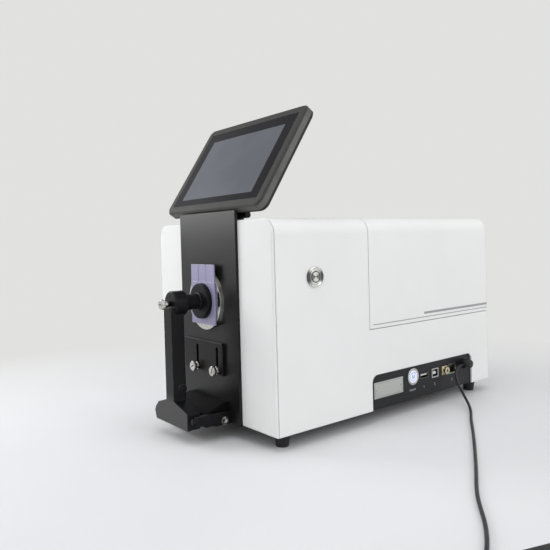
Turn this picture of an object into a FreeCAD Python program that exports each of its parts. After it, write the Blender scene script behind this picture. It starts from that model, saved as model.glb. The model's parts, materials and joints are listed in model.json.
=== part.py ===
import FreeCAD, Part
import math
import os

V = FreeCAD.Vector

# Clearances shared by all pieces
slip = 0.2
run_fit = 0.06
gap = 0.4
seam = 0.6

# Housing: width along X, length along Y, front face at Y = 0
# Its height is the port's height over the underside plus the room for the sphere and its lamp
# Its length is the bay round the sphere plus the lid's length
body_width = 210.0
lid_length = 214.6
port_height = 119.6
foot_height = 14.0
wall = 2.0
top_round = 15.0
panel_thick = 2.5
panel_edge_round = 2.0
bulkhead_gap = 6.9
lid_split_drop = 35.1
base_thick = 2.0
deck_thick = 2.0
deck_drop = 0.5
cable_window_width = 120.0
cable_window_height = 50.0

# Feet
foot_top_radius = 8.0
foot_bottom_radius = 6.0
foot_side_inset = 16.0
foot_end_inset = 19.0

# Lid hinge on the rear face
hinge_radius = 4.0
hinge_pin_radius = 1.5
hinge_half_length = 14.0
hinge_spacing = 130.0
leaf_thick = 2.0
leaf_reach = 16.0

# Front column and measuring port
column_width = 104.4
column_thick = 3.0
column_rise = 9.4
ring_base_radius = 30.4
ring_front_radius = 29.6
ring_proud = 4.2
ring_spigot_radius = 22.0
ring_spigot_reach = 1.5
port_bore_radius = 15.0
aperture_radius = 10.0
insert_thick = 5.0

# Integrating sphere, lamp and specular trap
sphere_outer_radius = 55.0
sphere_wall = 5.0
sphere_flange_lip = 5.0
sphere_flange_thick = 3.0
sphere_neck_radius = 20.0
view_hole_radius = 7.0
trap_hole_radius = 5.5
trap_offset = 16.0
stand_width = 70.0
stand_length = 24.0
stand_drop = 27.6
lamp_offset = 22.0
lamp_tube_radius = 7.0
lamp_width = 44.0
lamp_length = 34.0
lamp_height = 17.0
lamp_headroom = 6.0
shutter_thick = 1.5
shutter_radius = 7.5
shutter_arm_width = 8.0
motor_radius = 8.0
motor_length = 11.0
motor_offset = 46.0
motor_shaft_radius = 2.0
motor_plate_thick = 3.0

# Transmission compartment and spectrometer
spectrometer_width = 130.0
spectrometer_length = 90.0
spectrometer_headroom = 22.0
spectrometer_wall = 4.0
spectrometer_rear_gap = 10.0
lens_radius = 14.0
lens_bore_radius = 10.0
lens_reach = 12.0
lens_glass_thick = 3.0
rail_width = 60.0
rail_end_gap = 8.6
rail_height = 4.0
rail_slot = 20.0
rail_slot_depth = 2.0
rail_start = 12.0
grating_width = 30.0
grating_height = 26.0
grating_thick = 6.0
grating_rise = 20.0
sensor_width = 60.0
sensor_height = 40.0
sensor_thick = 1.6

# Boards
board_width = 130.0
board_end_gap = 37.6
board_thick = 1.6
board_start = 25.0
standoff_radius = 3.0
standoff_height = 10.0
standoff_inset = 6.0
chip_size = 18.0
chip_thick = 3.0
chip_margin = 12.0
chip_count = 4

# Connector panel in the right side, with its connectors placed from its rear end
io_start_gap = 2.4
io_end_gap = 35.4
io_height = 36.7
io_corner = 8.0
io_panel_thick = 1.5
io_panel_margin = 2.0
io_top_margin = 6.0
connector_depth = 18.0
connector_proud = 0.6
connector_row_height = 23.0
io_board_thick = 1.6
io_board_margin = 6.0
label_offset = 4.0
label_gap = 7.6
label_height = 17.0
label_rise = 11.0
label_thick = 0.5
usb_a_offset = 89.9
usb_a_width = 14.3
usb_a_height = 5.8
usb_b_offset = 70.4
usb_b_width = 12.4
usb_b_height = 10.6
coax_offset = 51.9
coax_flange = 10.0
coax_barrel_radius = 4.2
coax_bore_radius = 1.6
coax_reach = 4.0
network_offset = 37.6
network_width = 14.8
network_height = 11.8
jack_offset = 14.6
jack_lift = 3.0
jack_width = 11.0
jack_bore_radius = 3.2
jack_bore_depth = 9.0
socket_skin = 0.6
usb_b_skin = 1.6
network_skin = 1.5
mouth_depth = 10.0

# Push buttons
test_button_offset = 50.7
test_button_rise = 24.4
test_bezel_radius = 9.9
test_bezel_proud = 2.5
test_body_radius = 8.6
test_bore_radius = 7.5
test_body_length = 22.0
test_cap_proud = 2.0
test_cap_length = 13.0
power_offset = 109.9
power_height = 25.0
power_bezel_radius = 9.3
power_bezel_proud = 1.6
power_body_radius = 8.0
power_bore_radius = 7.0
power_body_length = 17.0
power_cap_proud = 1.2
power_cap_length = 10.0
button_end_wall = 2.0

# Display and its hinge
display_width = 176.0
display_height = 120.6
display_thick = 12.0
display_corner = 9.0
display_chamfer = 2.0
display_tilt = 33.2
display_front_y = -1.0
display_rise = 12.5
glass_margin = 9.2
glass_thick = 1.5
back_width = 124.0
back_height = 74.0
back_thick = 7.0
back_rise = 20.0
tilt_axis_y = 16.0
tilt_axis_rise = 5.5
knuckle_radius = 3.5
tilt_pin_radius = 1.5
tilt_cap_radius = 3.3
tilt_cap_length = 12.0
knuckle_inner = 14.0
knuckle_length = 12.0
ear_length = 10.0
bracket_thick = 1.2
bracket_length = 26.0
knuckle_seat = 7.0

# Sample clamp
arm_width = 15.0
arm_front = 50.0
arm_depth = 14.0
arm_ledge_drop = 4.0
barrel_radius = 12.4
barrel_front = 46.5
barrel_length = 13.5
barrel_end_wall = 1.5
foot_bar_width = 65.2
foot_bar_bottom = 1.0
foot_bar_height = 16.5
foot_bar_shoulder = 7.0
foot_bar_nose = 3.2
foot_bar_nose_step = 7.8
foot_bar_nose_rise = 1.6
pivot_back = 42.5
pivot_rise = 9.5
pivot_radius = 3.0
ear_radius = 4.5
ear_rear_drop = 1.5
ear_slope = 22.5
ear_thick = 4.0
pivot_overhang = 1.0
clamp_base_front = 30.0
clamp_base_bottom = 0.5
clamp_base_rear_height = 20.5
clamp_base_front_height = 12.5
clamp_base_ledge = 7.0
ear_screw_back = 11.5
ear_screw_drop = 4.5
ear_screw_radius = 4.0
ear_screw_head = 2.4
ear_screw_shank_radius = 2.0
ear_screw_shank = 12.0
ear_screw_socket = 1.6
lug_rise = 35.6
lug_back = 40.4
lug_radius = 4.6
lug_proud = 1.6
lug_pin_radius = 1.6
lug_pin_proud = 0.8
rod_radius = 8.0
rod_entry = 3.0
stem_radius = 2.5
pad_radius = 18.0
pad_thick = 4.7
pad_core_radius = 9.0
knob_radius = 4.8
knob_length = 4.0
knob_neck_radius = 3.2
knob_neck = 3.0
knob_reach = 57.5

# Sample plaque and sample rest
plaque_width = 43.6
plaque_height = 61.0
plaque_thick = 1.2
plaque_step_thick = 0.5
plaque_drop = 23.8
plaque_step_height = 43.2
plaque_strip_gap = 1.2
plaque_strip_count = 3
rest_left = 45.0
rest_right = 28.2
rest_height = 32.4
rest_thick = 2.6
rest_drop = 74.0
slot_half_spacing = 18.6
slot_width = 4.4
slot_length = 25.5
slot_foot = 2.4
rest_screw_radius = 1.95
rest_collar_radius = 4.0
rest_collar_thick = 1.4
rest_neck_radius = 2.6
rest_neck_length = 2.4
rest_head_radius = 5.0
rest_head_length = 3.2
rest_screw_tail = 1.5

# Power lead
cord_diameter = 3.0
cord_lift = 0.05
plug_reach = 6.0
plug_radius = 4.8
plug_pin_radius = 2.7
plug_pin_length = 8.0
plug_clear = 0.6
handle_radius = 4.2
handle_length = 10.0
cord_straight = 8.0
coil_step = (210.0, -366.0)
coil_middle_radius = 16.5
coil_pitch = 3.45
coil_layer_turns = 3.125
coil_layer_knots = 13
coil_lift = 0.8
tie_width = 6.0
tie_thick = 0.6
adapter_length = 110.0
adapter_width = 56.0
adapter_height = 31.0
adapter_round = 4.0
adapter_step = (46.4, 25.5)
adapter_turn = -18.7
relief_length = 12.0
relief_radius = 3.6
relief_height = 11.0
inlet_width = 18.0
inlet_height = 9.0
inlet_depth = 10.0

# Falling part of the lead: steps out from the jack along X and Y, with heights over the table
cord_fall = [
    (6.6, -24.9, 36.0), (9.2, -29.0, 29.2), (13.2, -29.9, 21.0), (19.4, -31.7, 13.4),
    (27.2, -36.0, 7.6), (36.9, -44.4, 3.9),
]
# Part of the lead that lies on the table, as steps out from the jack along X and Y
cord_lay = [
    (48.0, -58.2), (61.3, -78.8), (81.8, -106.9), (108.4, -144.8), (139.6, -190.6), (166.2, -231.4),
    (182.5, -252.1), (199.0, -271.5), (215.8, -296.3), (228.2, -320.5),
]
coil_lead = 18.0
tail_lead = 9.0

# Worked out from the sizes above
half = body_width / 2
floor_z = foot_height
port_z = floor_z + port_height
sphere_flange_radius = sphere_outer_radius + sphere_flange_lip
top_z = port_z + sphere_outer_radius + gap + lamp_height + lamp_headroom + wall
split_z = port_z - lid_split_drop
inner_half = half - wall
base_top = floor_z + base_thick
sphere_y = panel_thick + ring_spigot_reach + sphere_outer_radius + gap
motor_face = sphere_y + sphere_outer_radius + gap
shutter_front = motor_face + gap / 2
lid_front = shutter_front + shutter_thick + bulkhead_gap + wall
body_length = lid_front + lid_length
deck_top = split_z - deck_drop
ring_front_y = -column_thick - ring_proud
io_start = lid_front + io_start_gap
io_end = body_length - io_end_gap
io_top = floor_z + io_height
panel_face = inner_half
connector_z = floor_z + connector_row_height
jack_z = connector_z + jack_lift
board_face = panel_face + connector_proud - connector_depth
power_y = io_end - power_offset
power_z = floor_z + power_height
jack_y = io_end - jack_offset
tilt_axis_z = top_z + tilt_axis_rise
display_front_z = top_z + display_rise
pivot_z = floor_z + pivot_rise
bar_z = floor_z + foot_bar_bottom
bar_half = foot_bar_width / 2
ear_inner = bar_half + gap
ear_bottom = floor_z + clamp_base_bottom
ear_screw_z = pivot_z - ear_screw_drop
plaque_back = ring_front_y - slip
plaque_front = plaque_back - plaque_thick - plaque_step_thick
pad_face = plaque_front - gap
rest_z = port_z - rest_drop
rest_face = -column_thick - slip - rest_thick
rest_screw_z = rest_z + slot_foot + slot_width / 2
slot_spacing_signs = (-1, 1)
hinge_axis_y = body_length + gap + hinge_radius
hinge_axis_z = split_z + seam / 2
cord_radius = cord_diameter / 2
jack_face = panel_face + connector_proud
plug_exit = V(jack_face + plug_reach, jack_y - handle_length, jack_z)
coil_centre = (jack_face + coil_step[0], jack_y + coil_step[1])
adapter_left = coil_centre[0] + adapter_step[0]
adapter_middle_y = coil_centre[1] + adapter_step[1]

# The frame's origin is under the middle of the instrument, without its lead
middle_x = test_bezel_proud / 2
middle_y = (hinge_axis_y + hinge_radius - knob_reach) / 2
shift = V(-middle_x, -middle_y, 0)


def box(x0, x1, y0, y1, z0, z1):
    """A block between two corners."""
    return Part.makeBox(x1 - x0, y1 - y0, z1 - z0, V(x0, y0, z0))


def rod_x(radius, x0, x1, y, z):
    """A round rod along X."""
    return Part.makeCylinder(radius, x1 - x0, V(x0, y, z), V(1, 0, 0))


def rod_y(radius, y0, y1, x, z):
    """A round rod along Y."""
    return Part.makeCylinder(radius, y1 - y0, V(x, y0, z), V(0, 1, 0))


def rod_z(radius, z0, z1, x, y):
    """A round rod along Z."""
    return Part.makeCylinder(radius, z1 - z0, V(x, y, z0), V(0, 0, 1))


def prism_x(points, x0, x1):
    """A prism along X over an outline of (y, z) points."""
    ring = [V(x0, y, z) for y, z in points]
    return Part.Face(Part.makePolygon(ring + ring[:1])).extrude(V(x1 - x0, 0, 0))


def prism_y(points, y0, y1):
    """A prism along Y over an outline of (x, z) points."""
    ring = [V(x, y0, z) for x, z in points]
    return Part.Face(Part.makePolygon(ring + ring[:1])).extrude(V(0, y1 - y0, 0))


def joined(shapes):
    """One solid from pieces that overlap."""
    return shapes[0].multiFuse(shapes[1:]).removeSplitter()


def rounded(shape, radius, wanted):
    """Fillets on the edges whose middle passes a test."""
    edges = [e for e in shape.Edges if wanted(e.CenterOfMass)]
    return shape.makeFillet(radius, edges)


def housing_block(half_width, y0, y1, z0, z1, radius):
    """A block along Y with its two top corners rounded."""
    inset = radius * (1 - math.sqrt(0.5))
    low_left = V(-half_width, y0, z0)
    low_right = V(half_width, y0, z0)
    right = V(half_width, y0, z1 - radius)
    top_right = V(half_width - radius, y0, z1)
    top_left = V(-half_width + radius, y0, z1)
    left = V(-half_width, y0, z1 - radius)
    edges = [
        Part.LineSegment(low_left, low_right).toShape(),
        Part.LineSegment(low_right, right).toShape(),
        Part.Arc(right, V(half_width - inset, y0, z1 - inset), top_right).toShape(),
        Part.LineSegment(top_right, top_left).toShape(),
        Part.Arc(top_left, V(-half_width + inset, y0, z1 - inset), left).toShape(),
        Part.LineSegment(left, low_left).toShape(),
    ]
    return Part.Face(Part.Wire(edges)).extrude(V(0, y1 - y0, 0))


def export(name, shapes):
    """Writes one sub-part, moved to the frame's origin."""
    shape = shapes[0] if len(shapes) == 1 else Part.makeCompound(shapes)
    moved = shape.copy()
    moved.translate(shift)
    moved.exportStep("parts/" + name + ".step")


# Housing

def rest_screw_places():
    """X of the two thumbscrews."""
    return [sign * slot_half_spacing for sign in slot_spacing_signs]


def make_front_panel():
    panel = housing_block(half, 0, panel_thick, floor_z, top_z, top_round)
    panel = rounded(panel, panel_edge_round, lambda c: c.y < 0.01)
    panel = panel.cut(rod_y(ring_spigot_radius + gap, -1, panel_thick + 1, 0, port_z))
    for x in rest_screw_places():
        panel = panel.cut(rod_y(rest_screw_radius + 1, -1, panel_thick + 1, x, rest_screw_z))
    return panel


def make_main_shell():
    start = panel_thick + seam
    shell = housing_block(half, start, body_length, floor_z, top_z, top_round)
    lid_room = box(-half - 1, half + 1, lid_front, body_length + 1, split_z, top_z + 1)
    front_bay = housing_block(
        inner_half, start - 1, lid_front - wall, floor_z - 1, top_z - wall, top_round - wall)
    rear_bay = box(
        -inner_half, inner_half, lid_front, body_length - wall, floor_z - 1, split_z + 1)
    base_slot = box(
        -inner_half, inner_half, lid_front - wall - 1, lid_front + 1, floor_z - 1, base_top + slip)
    window = box(
        -cable_window_width / 2, cable_window_width / 2, lid_front - wall - 1, lid_front + 1,
        floor_z, base_top + cable_window_height)
    beam = rod_y(lens_radius, lid_front - wall - 1, lid_front + 1, 0, port_z)
    cut_out = box(inner_half - 1, half + 1, io_start, io_end, floor_z - io_corner - 1, io_top)
    cut_out = rounded(
        cut_out, io_corner, lambda c: c.z > io_top - 0.01 and abs(c.x - half + wall / 2) < 0.01)
    button_y = test_button_offset
    button_hole = rod_x(
        test_body_radius + slip, inner_half - 1, half + 1, button_y, port_z + test_button_rise)
    for tool in (lid_room, front_bay, rear_bay, base_slot, window, beam, cut_out, button_hole):
        shell = shell.cut(tool)
    return shell


def make_lid():
    start = lid_front + seam
    bottom = split_z + seam
    lid = housing_block(half, start, body_length, bottom, top_z, top_round)
    hollow = housing_block(
        inner_half, start - 1, body_length - wall, bottom - 1, top_z - wall, top_round - wall)
    return lid.cut(hollow)


def make_base_plate():
    edge = inner_half - slip
    plate = box(-edge, edge, panel_thick + slip, body_length - wall - slip, floor_z, base_top)
    return joined([plate] + make_board_standoffs())


def make_deck_plate():
    edge = inner_half - slip
    return box(
        -edge, edge, lid_front + slip, body_length - wall - slip, deck_top - deck_thick, deck_top)


def make_feet():
    feet = []
    for x in (-half + foot_side_inset, half - foot_side_inset):
        for y in (foot_end_inset, body_length - foot_end_inset):
            feet.append(Part.makeCone(foot_bottom_radius, foot_top_radius, foot_height, V(x, y, 0)))
    return feet


# Lid hinge

def hinge_places():
    """X of the middle of each hinge."""
    return (-hinge_spacing / 2, hinge_spacing / 2)


def make_hinge_half(x, side, bore):
    """A leaf with its knuckle: side -1 is below and fixed, side 1 is above and moves."""
    knuckle_end = x + side * hinge_half_length
    knuckle_start = x + side * gap / 2
    x0 = min(knuckle_start, knuckle_end)
    x1 = max(knuckle_start, knuckle_end)
    near = hinge_axis_z + side * (hinge_radius + gap)
    far = hinge_axis_z + side * leaf_reach
    leaf = box(
        x - hinge_half_length, x + hinge_half_length, body_length, body_length + leaf_thick,
        min(near, far), max(near, far))
    root = hinge_axis_z + side * seam
    tab = box(x0, x1, body_length, hinge_axis_y, min(root, near), max(root, near))
    knuckle = rod_x(hinge_radius, x0, x1, hinge_axis_y, hinge_axis_z)
    half_hinge = joined([leaf, tab, knuckle])
    return half_hinge.cut(rod_x(bore, x0 - 1, x1 + 1, hinge_axis_y, hinge_axis_z))


def make_hinge_pin(x):
    return rod_x(
        hinge_pin_radius, x - hinge_half_length, x + hinge_half_length, hinge_axis_y, hinge_axis_z)


# Column, port ring and sphere

def make_column():
    column = box(
        -column_width / 2, column_width / 2, -column_thick, 0, floor_z, top_z + column_rise)
    column = column.cut(rod_y(ring_spigot_radius + slip, -column_thick - 1, 1, 0, port_z))
    for x in rest_screw_places():
        column = column.cut(
            rod_y(rest_screw_radius + run_fit, -column_thick - 1, 1, x, rest_screw_z))
    return column


def make_port_ring():
    cone = Part.makeCone(
        ring_base_radius, ring_front_radius, ring_proud, V(0, -column_thick, port_z), V(0, -1, 0))
    spigot = rod_y(
        ring_spigot_radius, -column_thick - 1, panel_thick + ring_spigot_reach, 0, port_z)
    bore = rod_y(port_bore_radius, ring_front_y - 1, panel_thick + ring_spigot_reach + 1, 0, port_z)
    return joined([cone, spigot]).cut(bore)


def make_aperture_insert():
    disc = rod_y(port_bore_radius - slip, ring_front_y, ring_front_y + insert_thick, 0, port_z)
    hole = Part.makeCone(
        aperture_radius, port_bore_radius - 2, insert_thick, V(0, ring_front_y, port_z), V(0, 1, 0))
    return disc.cut(hole)


def sphere_ball(radius):
    return Part.makeSphere(radius, V(0, sphere_y, port_z))


def make_sphere_half(front):
    """Half of the hollow sphere with its joining flange."""
    reach = sphere_flange_radius + 1
    side = -1 if front else 1
    far = sphere_y + side * reach
    keep = box(
        -reach, reach, min(far, sphere_y), max(far, sphere_y), port_z - reach, port_z + reach)
    edge = sphere_y + side * sphere_flange_thick
    flange = rod_y(
        sphere_flange_radius, min(edge, sphere_y), max(edge, sphere_y), 0, port_z)
    shell = joined([sphere_ball(sphere_outer_radius).common(keep), flange])
    inner_radius = sphere_outer_radius - sphere_wall
    if front:
        neck_start = panel_thick + ring_spigot_reach
        shell = joined([shell, rod_y(sphere_neck_radius, neck_start, sphere_y - inner_radius, 0, port_z)])
        shell = shell.cut(rod_y(port_bore_radius, neck_start - 1, sphere_y, 0, port_z))
        shell = shell.cut(
            rod_z(lamp_tube_radius + slip, port_z, port_z + reach, 0, sphere_y - lamp_offset))
    else:
        shell = joined([shell, make_motor_ear()])
        shell = shell.cut(rod_y(view_hole_radius, sphere_y, sphere_y + reach, 0, port_z))
        shell = shell.cut(rod_y(trap_hole_radius, sphere_y, sphere_y + reach, -trap_offset, port_z))
    return shell.cut(sphere_ball(inner_radius))


def make_motor_ear():
    """A plate on the rear half that the trap motor sits on."""
    back = motor_face - motor_length
    return box(
        -motor_offset - motor_radius - 2, -motor_offset + motor_radius + 4,
        back - motor_plate_thick - 6, back, port_z - motor_radius, port_z + motor_radius)


def make_trap_motor():
    body = rod_y(motor_radius, motor_face - motor_length, motor_face, -motor_offset, port_z)
    end = shutter_front + shutter_thick + gap / 2
    shaft = rod_y(motor_shaft_radius, motor_face - 1, end, -motor_offset, port_z)
    return joined([body, shaft])


def make_trap_shutter():
    y0 = shutter_front
    y1 = y0 + shutter_thick
    disc = rod_y(shutter_radius, y0, y1, -trap_offset, port_z)
    hub = rod_y(shutter_arm_width / 2, y0, y1, -motor_offset, port_z)
    arm = box(
        -motor_offset, -trap_offset, y0, y1,
        port_z - shutter_arm_width / 2, port_z + shutter_arm_width / 2)
    shaft_hole = rod_y(motor_shaft_radius + run_fit, y0 - 1, y1 + 1, -motor_offset, port_z)
    return joined([disc, hub, arm]).cut(shaft_hole)


def make_sphere_stand():
    post = box(
        -stand_width / 2, stand_width / 2, sphere_y - stand_length / 2, sphere_y + stand_length / 2,
        base_top, port_z - stand_drop)
    flange_room = rod_y(
        sphere_flange_radius + slip, sphere_y - sphere_flange_thick - slip,
        sphere_y + sphere_flange_thick + slip, 0, port_z)
    return post.cut(sphere_ball(sphere_outer_radius + slip)).cut(flange_room)


def make_lamp_module():
    bottom = port_z + sphere_outer_radius + gap
    end = sphere_y - sphere_flange_thick - gap
    case = box(
        -lamp_width / 2, lamp_width / 2, end - lamp_length, end, bottom, bottom + lamp_height)
    tube = rod_z(
        lamp_tube_radius, bottom - sphere_wall * 2, bottom + 1, 0, sphere_y - lamp_offset)
    return joined([case, tube])


# Compartment and spectrometer

def spectrometer_front():
    """Y of the spectrometer's front face."""
    return body_length - wall - spectrometer_rear_gap - spectrometer_length


def make_spectrometer_case():
    front = spectrometer_front()
    side = spectrometer_width / 2
    top = top_z - wall - spectrometer_headroom
    case = box(-side, side, front, front + spectrometer_length, deck_top, top)
    case = rounded(case, spectrometer_wall, lambda c: c.z > top - 0.01)
    w = spectrometer_wall
    hollow = box(-side + w, side - w, front + w, front + spectrometer_length - w, deck_top + w, top - w)
    return case.cut(hollow).cut(rod_y(lens_bore_radius, front - 1, front + w + 1, 0, port_z))


def make_viewing_lens():
    front = spectrometer_front()
    tube = rod_y(lens_radius, front - lens_reach, front, 0, port_z)
    return tube.cut(rod_y(lens_bore_radius, front - lens_reach - 1, front + 1, 0, port_z))


def make_viewing_glass():
    start = spectrometer_front() - lens_reach + 1
    return rod_y(lens_bore_radius - slip / 2, start, start + lens_glass_thick, 0, port_z)


def make_grating():
    back = spectrometer_front() + spectrometer_length - spectrometer_wall
    foot = deck_top + spectrometer_wall
    block = box(
        -grating_width / 2, grating_width / 2, back - grating_thick, back,
        foot + grating_rise, foot + grating_rise + grating_height)
    post = box(-grating_thick, grating_thick, back - grating_thick, back, foot, foot + grating_rise)
    return joined([block, post])


def make_sensor_board():
    start = spectrometer_front() + spectrometer_wall
    side = -spectrometer_width / 2 + spectrometer_wall
    foot = deck_top + spectrometer_wall
    return box(side, side + sensor_thick, start, start + sensor_width, foot, foot + sensor_height)


def make_sample_rail():
    start = lid_front + rail_start
    end = spectrometer_front() - lens_reach - rail_end_gap
    rail = box(-rail_width / 2, rail_width / 2, start, end, deck_top, deck_top + rail_height)
    groove = box(
        -rail_slot / 2, rail_slot / 2, start - 1, end + 1,
        deck_top + rail_height - rail_slot_depth, deck_top + rail_height + 1)
    return rail.cut(groove)


# Boards

def board_bottom():
    return base_top + standoff_height


def board_span():
    """Y of the main board's two ends."""
    return lid_front + board_start, body_length - wall - board_end_gap


def make_main_board():
    start, end = board_span()
    board = box(
        -board_width / 2, board_width / 2, start, end,
        board_bottom(), board_bottom() + board_thick)
    return joined([board] + make_board_chips())


def make_board_standoffs():
    start, end = board_span()
    posts = []
    for x in (-board_width / 2 + standoff_inset, board_width / 2 - standoff_inset):
        for y in (start + standoff_inset, end - standoff_inset):
            posts.append(rod_z(standoff_radius, floor_z, board_bottom(), x, y))
    return posts


def make_board_chips():
    top = board_bottom() + board_thick
    start, end = board_span()
    first = start + chip_margin + chip_size / 2
    last = end - chip_margin - chip_size / 2
    chips = []
    for index in range(chip_count):
        y = first + index * (last - first) / (chip_count - 1)
        chips.append(box(
            -chip_size / 2, chip_size / 2, y - chip_size / 2, y + chip_size / 2,
            board_bottom(), top + chip_thick))
    return chips


# Connector panel

def socket_block(offset, width, height, grow, lift=0):
    """The outer block of a connector, grown on four sides."""
    y = io_end - offset
    z = connector_z + lift
    return box(
        board_face, panel_face + connector_proud, y - width / 2 - grow, y + width / 2 + grow,
        z - height / 2 - grow, z + height / 2 + grow)


def make_socket(offset, width, height, skin):
    """A metal-framed socket with an open mouth."""
    y = io_end - offset
    face = panel_face + connector_proud
    mouth = box(
        face - mouth_depth, face + 1, y - width / 2 + skin, y + width / 2 - skin,
        connector_z - height / 2 + skin, connector_z + height / 2 - skin)
    return socket_block(offset, width, height, 0).cut(mouth)


def make_coax_socket():
    y = io_end - coax_offset
    face = panel_face + connector_proud
    barrel = rod_x(coax_barrel_radius, face - 1, face + coax_reach, y, connector_z)
    bore = rod_x(coax_bore_radius, face - coax_reach, face + coax_reach + 1, y, connector_z)
    block = socket_block(coax_offset, coax_flange, coax_flange, 0)
    return joined([block, barrel]).cut(bore)


def make_dc_jack():
    face = panel_face + connector_proud
    bore = rod_x(jack_bore_radius, face - jack_bore_depth, face + 1, jack_y, jack_z)
    return socket_block(jack_offset, jack_width, jack_width, 0, jack_lift).cut(bore)


def make_io_panel():
    panel = box(
        panel_face - io_panel_thick, panel_face, io_start - io_panel_margin,
        io_end + io_panel_margin, base_top, io_top + io_top_margin)
    for offset, width, height, lift in (
            (usb_a_offset, usb_a_width, usb_a_height, 0),
            (usb_b_offset, usb_b_width, usb_b_height, 0),
            (coax_offset, coax_flange, coax_flange, 0),
            (network_offset, network_width, network_height, 0),
            (jack_offset, jack_width, jack_width, jack_lift)):
        panel = panel.cut(socket_block(offset, width, height, slip, lift))
    hole = rod_x(
        power_body_radius + slip, panel_face - io_panel_thick - 1, panel_face + 1, power_y, power_z)
    return panel.cut(hole)


def make_io_board():
    low = io_end - usb_a_offset - usb_a_width / 2 - io_board_margin
    high = jack_y + jack_width / 2 + io_board_margin
    reach = network_height / 2 + io_board_margin
    return box(
        board_face - io_board_thick, board_face, low, high, connector_z - reach, connector_z + reach)


def make_label_plate():
    y0 = io_start + label_offset
    y1 = power_y - power_bezel_radius - label_gap
    z = floor_z + label_rise
    return box(panel_face, panel_face + label_thick, y0, y1, z, z + label_height)


# Push buttons

def make_button_body(y, z, face, bezel_radius, proud, body_radius, bore_radius, length):
    """A flanged cup that a button's cap slides in."""
    flange = rod_x(bezel_radius, face, face + proud, y, z)
    body = rod_x(body_radius, face - length, face + 0.5, y, z)
    bore = rod_x(bore_radius, face - length + button_end_wall, face + proud + 1, y, z)
    shape = joined([flange, body]).cut(bore)
    return rounded(shape, proud / 3, lambda c: c.x > face + proud - 0.01)


def make_button_cap(y, z, face, proud, bore_radius, length):
    cap = rod_x(bore_radius - run_fit, face + proud - length, face + proud, y, z)
    return rounded(cap, proud / 4, lambda c: c.x > face + proud - 0.01)


# Display

def place_display(shape):
    """Moves a piece from the display's own upright frame to its tilted place."""
    moved = shape.copy()
    moved.rotate(V(0, 0, 0), V(1, 0, 0), -display_tilt)
    moved.translate(V(0, display_front_y, display_front_z))
    return moved


def tilt_axis_in_display():
    """The hinge axis in the display's own frame, as depth behind the glass and height."""
    angle = math.radians(display_tilt)
    dy = tilt_axis_y - display_front_y
    dz = tilt_axis_z - display_front_z
    depth = dy * math.cos(angle) - dz * math.sin(angle)
    height = dy * math.sin(angle) + dz * math.cos(angle)
    return depth, height


def glass_block(margin, thick, start):
    side = display_width / 2 - margin
    return box(-side, side, start, start + thick, margin, display_height - margin)


def make_display_housing():
    side = display_width / 2
    slab = box(-side, side, 0, display_thick, 0, display_height)
    mid_y = display_thick / 2
    slab = rounded(slab, display_corner, lambda c: abs(c.y - mid_y) < 0.01)
    rims = [e for e in slab.Edges if abs(e.CenterOfMass.y - mid_y) > mid_y - 0.01]
    slab = slab.makeChamfer(display_chamfer, rims)
    back = box(
        -back_width / 2, back_width / 2, display_thick - 1, display_thick + back_thick,
        back_rise, back_rise + back_height)
    rear = display_thick + back_thick
    back = rounded(back, back_thick / 2, lambda c: c.y > rear - 0.01)
    slab = joined([slab, back])
    return place_display(slab.cut(glass_block(glass_margin, glass_thick + 1, -1)))


def make_display_glass():
    return place_display(glass_block(glass_margin + slip, glass_thick, 0))


def make_display_knuckles():
    depth, height = tilt_axis_in_display()
    knuckles = []
    for sign in (-1, 1):
        near = sign * knuckle_inner
        far = sign * (knuckle_inner + knuckle_length)
        x0 = min(near, far)
        x1 = max(near, far)
        barrel = rod_x(knuckle_radius, x0, x1, depth, height)
        seat = box(
            x0, x1, display_thick, depth, height - knuckle_radius / 2, height + knuckle_seat)
        bore = rod_x(tilt_pin_radius + run_fit, x0 - 1, x1 + 1, depth, height)
        knuckles.append(place_display(joined([barrel, seat]).cut(bore)))
    return knuckles


def make_display_bracket():
    outer = knuckle_inner + knuckle_length + gap + ear_length
    plate_z = top_z + bracket_thick
    middle = tilt_axis_y
    plate = box(
        -outer, outer, middle - bracket_length / 2, middle + bracket_length / 2, top_z, plate_z)
    parts = [plate]
    for sign in (-1, 1):
        near = sign * (outer - ear_length)
        far = sign * outer
        x0 = min(near, far)
        x1 = max(near, far)
        parts.append(rod_x(knuckle_radius, x0, x1, middle, tilt_axis_z))
        parts.append(box(x0, x1, middle - knuckle_radius, middle + knuckle_radius, top_z, tilt_axis_z))
    bracket = joined(parts)
    return bracket.cut(rod_x(tilt_pin_radius, -outer - 1, outer + 1, middle, tilt_axis_z))


def make_tilt_pin():
    outer = knuckle_inner + knuckle_length + gap + ear_length
    pin = rod_x(tilt_pin_radius, -outer - 1, outer + 1, tilt_axis_y, tilt_axis_z)
    caps = [
        rod_x(tilt_cap_radius, outer, outer + tilt_cap_length, tilt_axis_y, tilt_axis_z),
        rod_x(tilt_cap_radius, -outer - tilt_cap_length, -outer, tilt_axis_y, tilt_axis_z),
    ]
    return joined([pin] + caps)


# Sample clamp

def make_clamp_base():
    base_half = ear_inner
    bottom = ear_bottom
    outline = [
        (-column_thick, bottom), (-column_thick, bottom + clamp_base_rear_height),
        (-column_thick - clamp_base_ledge, bottom + clamp_base_rear_height),
        (-clamp_base_front, bottom + clamp_base_front_height), (-clamp_base_front, bottom),
    ]
    block = prism_x(outline, -base_half, base_half)
    for sign in (-1, 1):
        start = sign * (ear_inner - ear_screw_shank)
        end = sign * (ear_inner + 1)
        block = block.cut(rod_x(
            ear_screw_shank_radius, min(start, end), max(start, end), -ear_screw_back, ear_screw_z))
    return block


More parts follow.
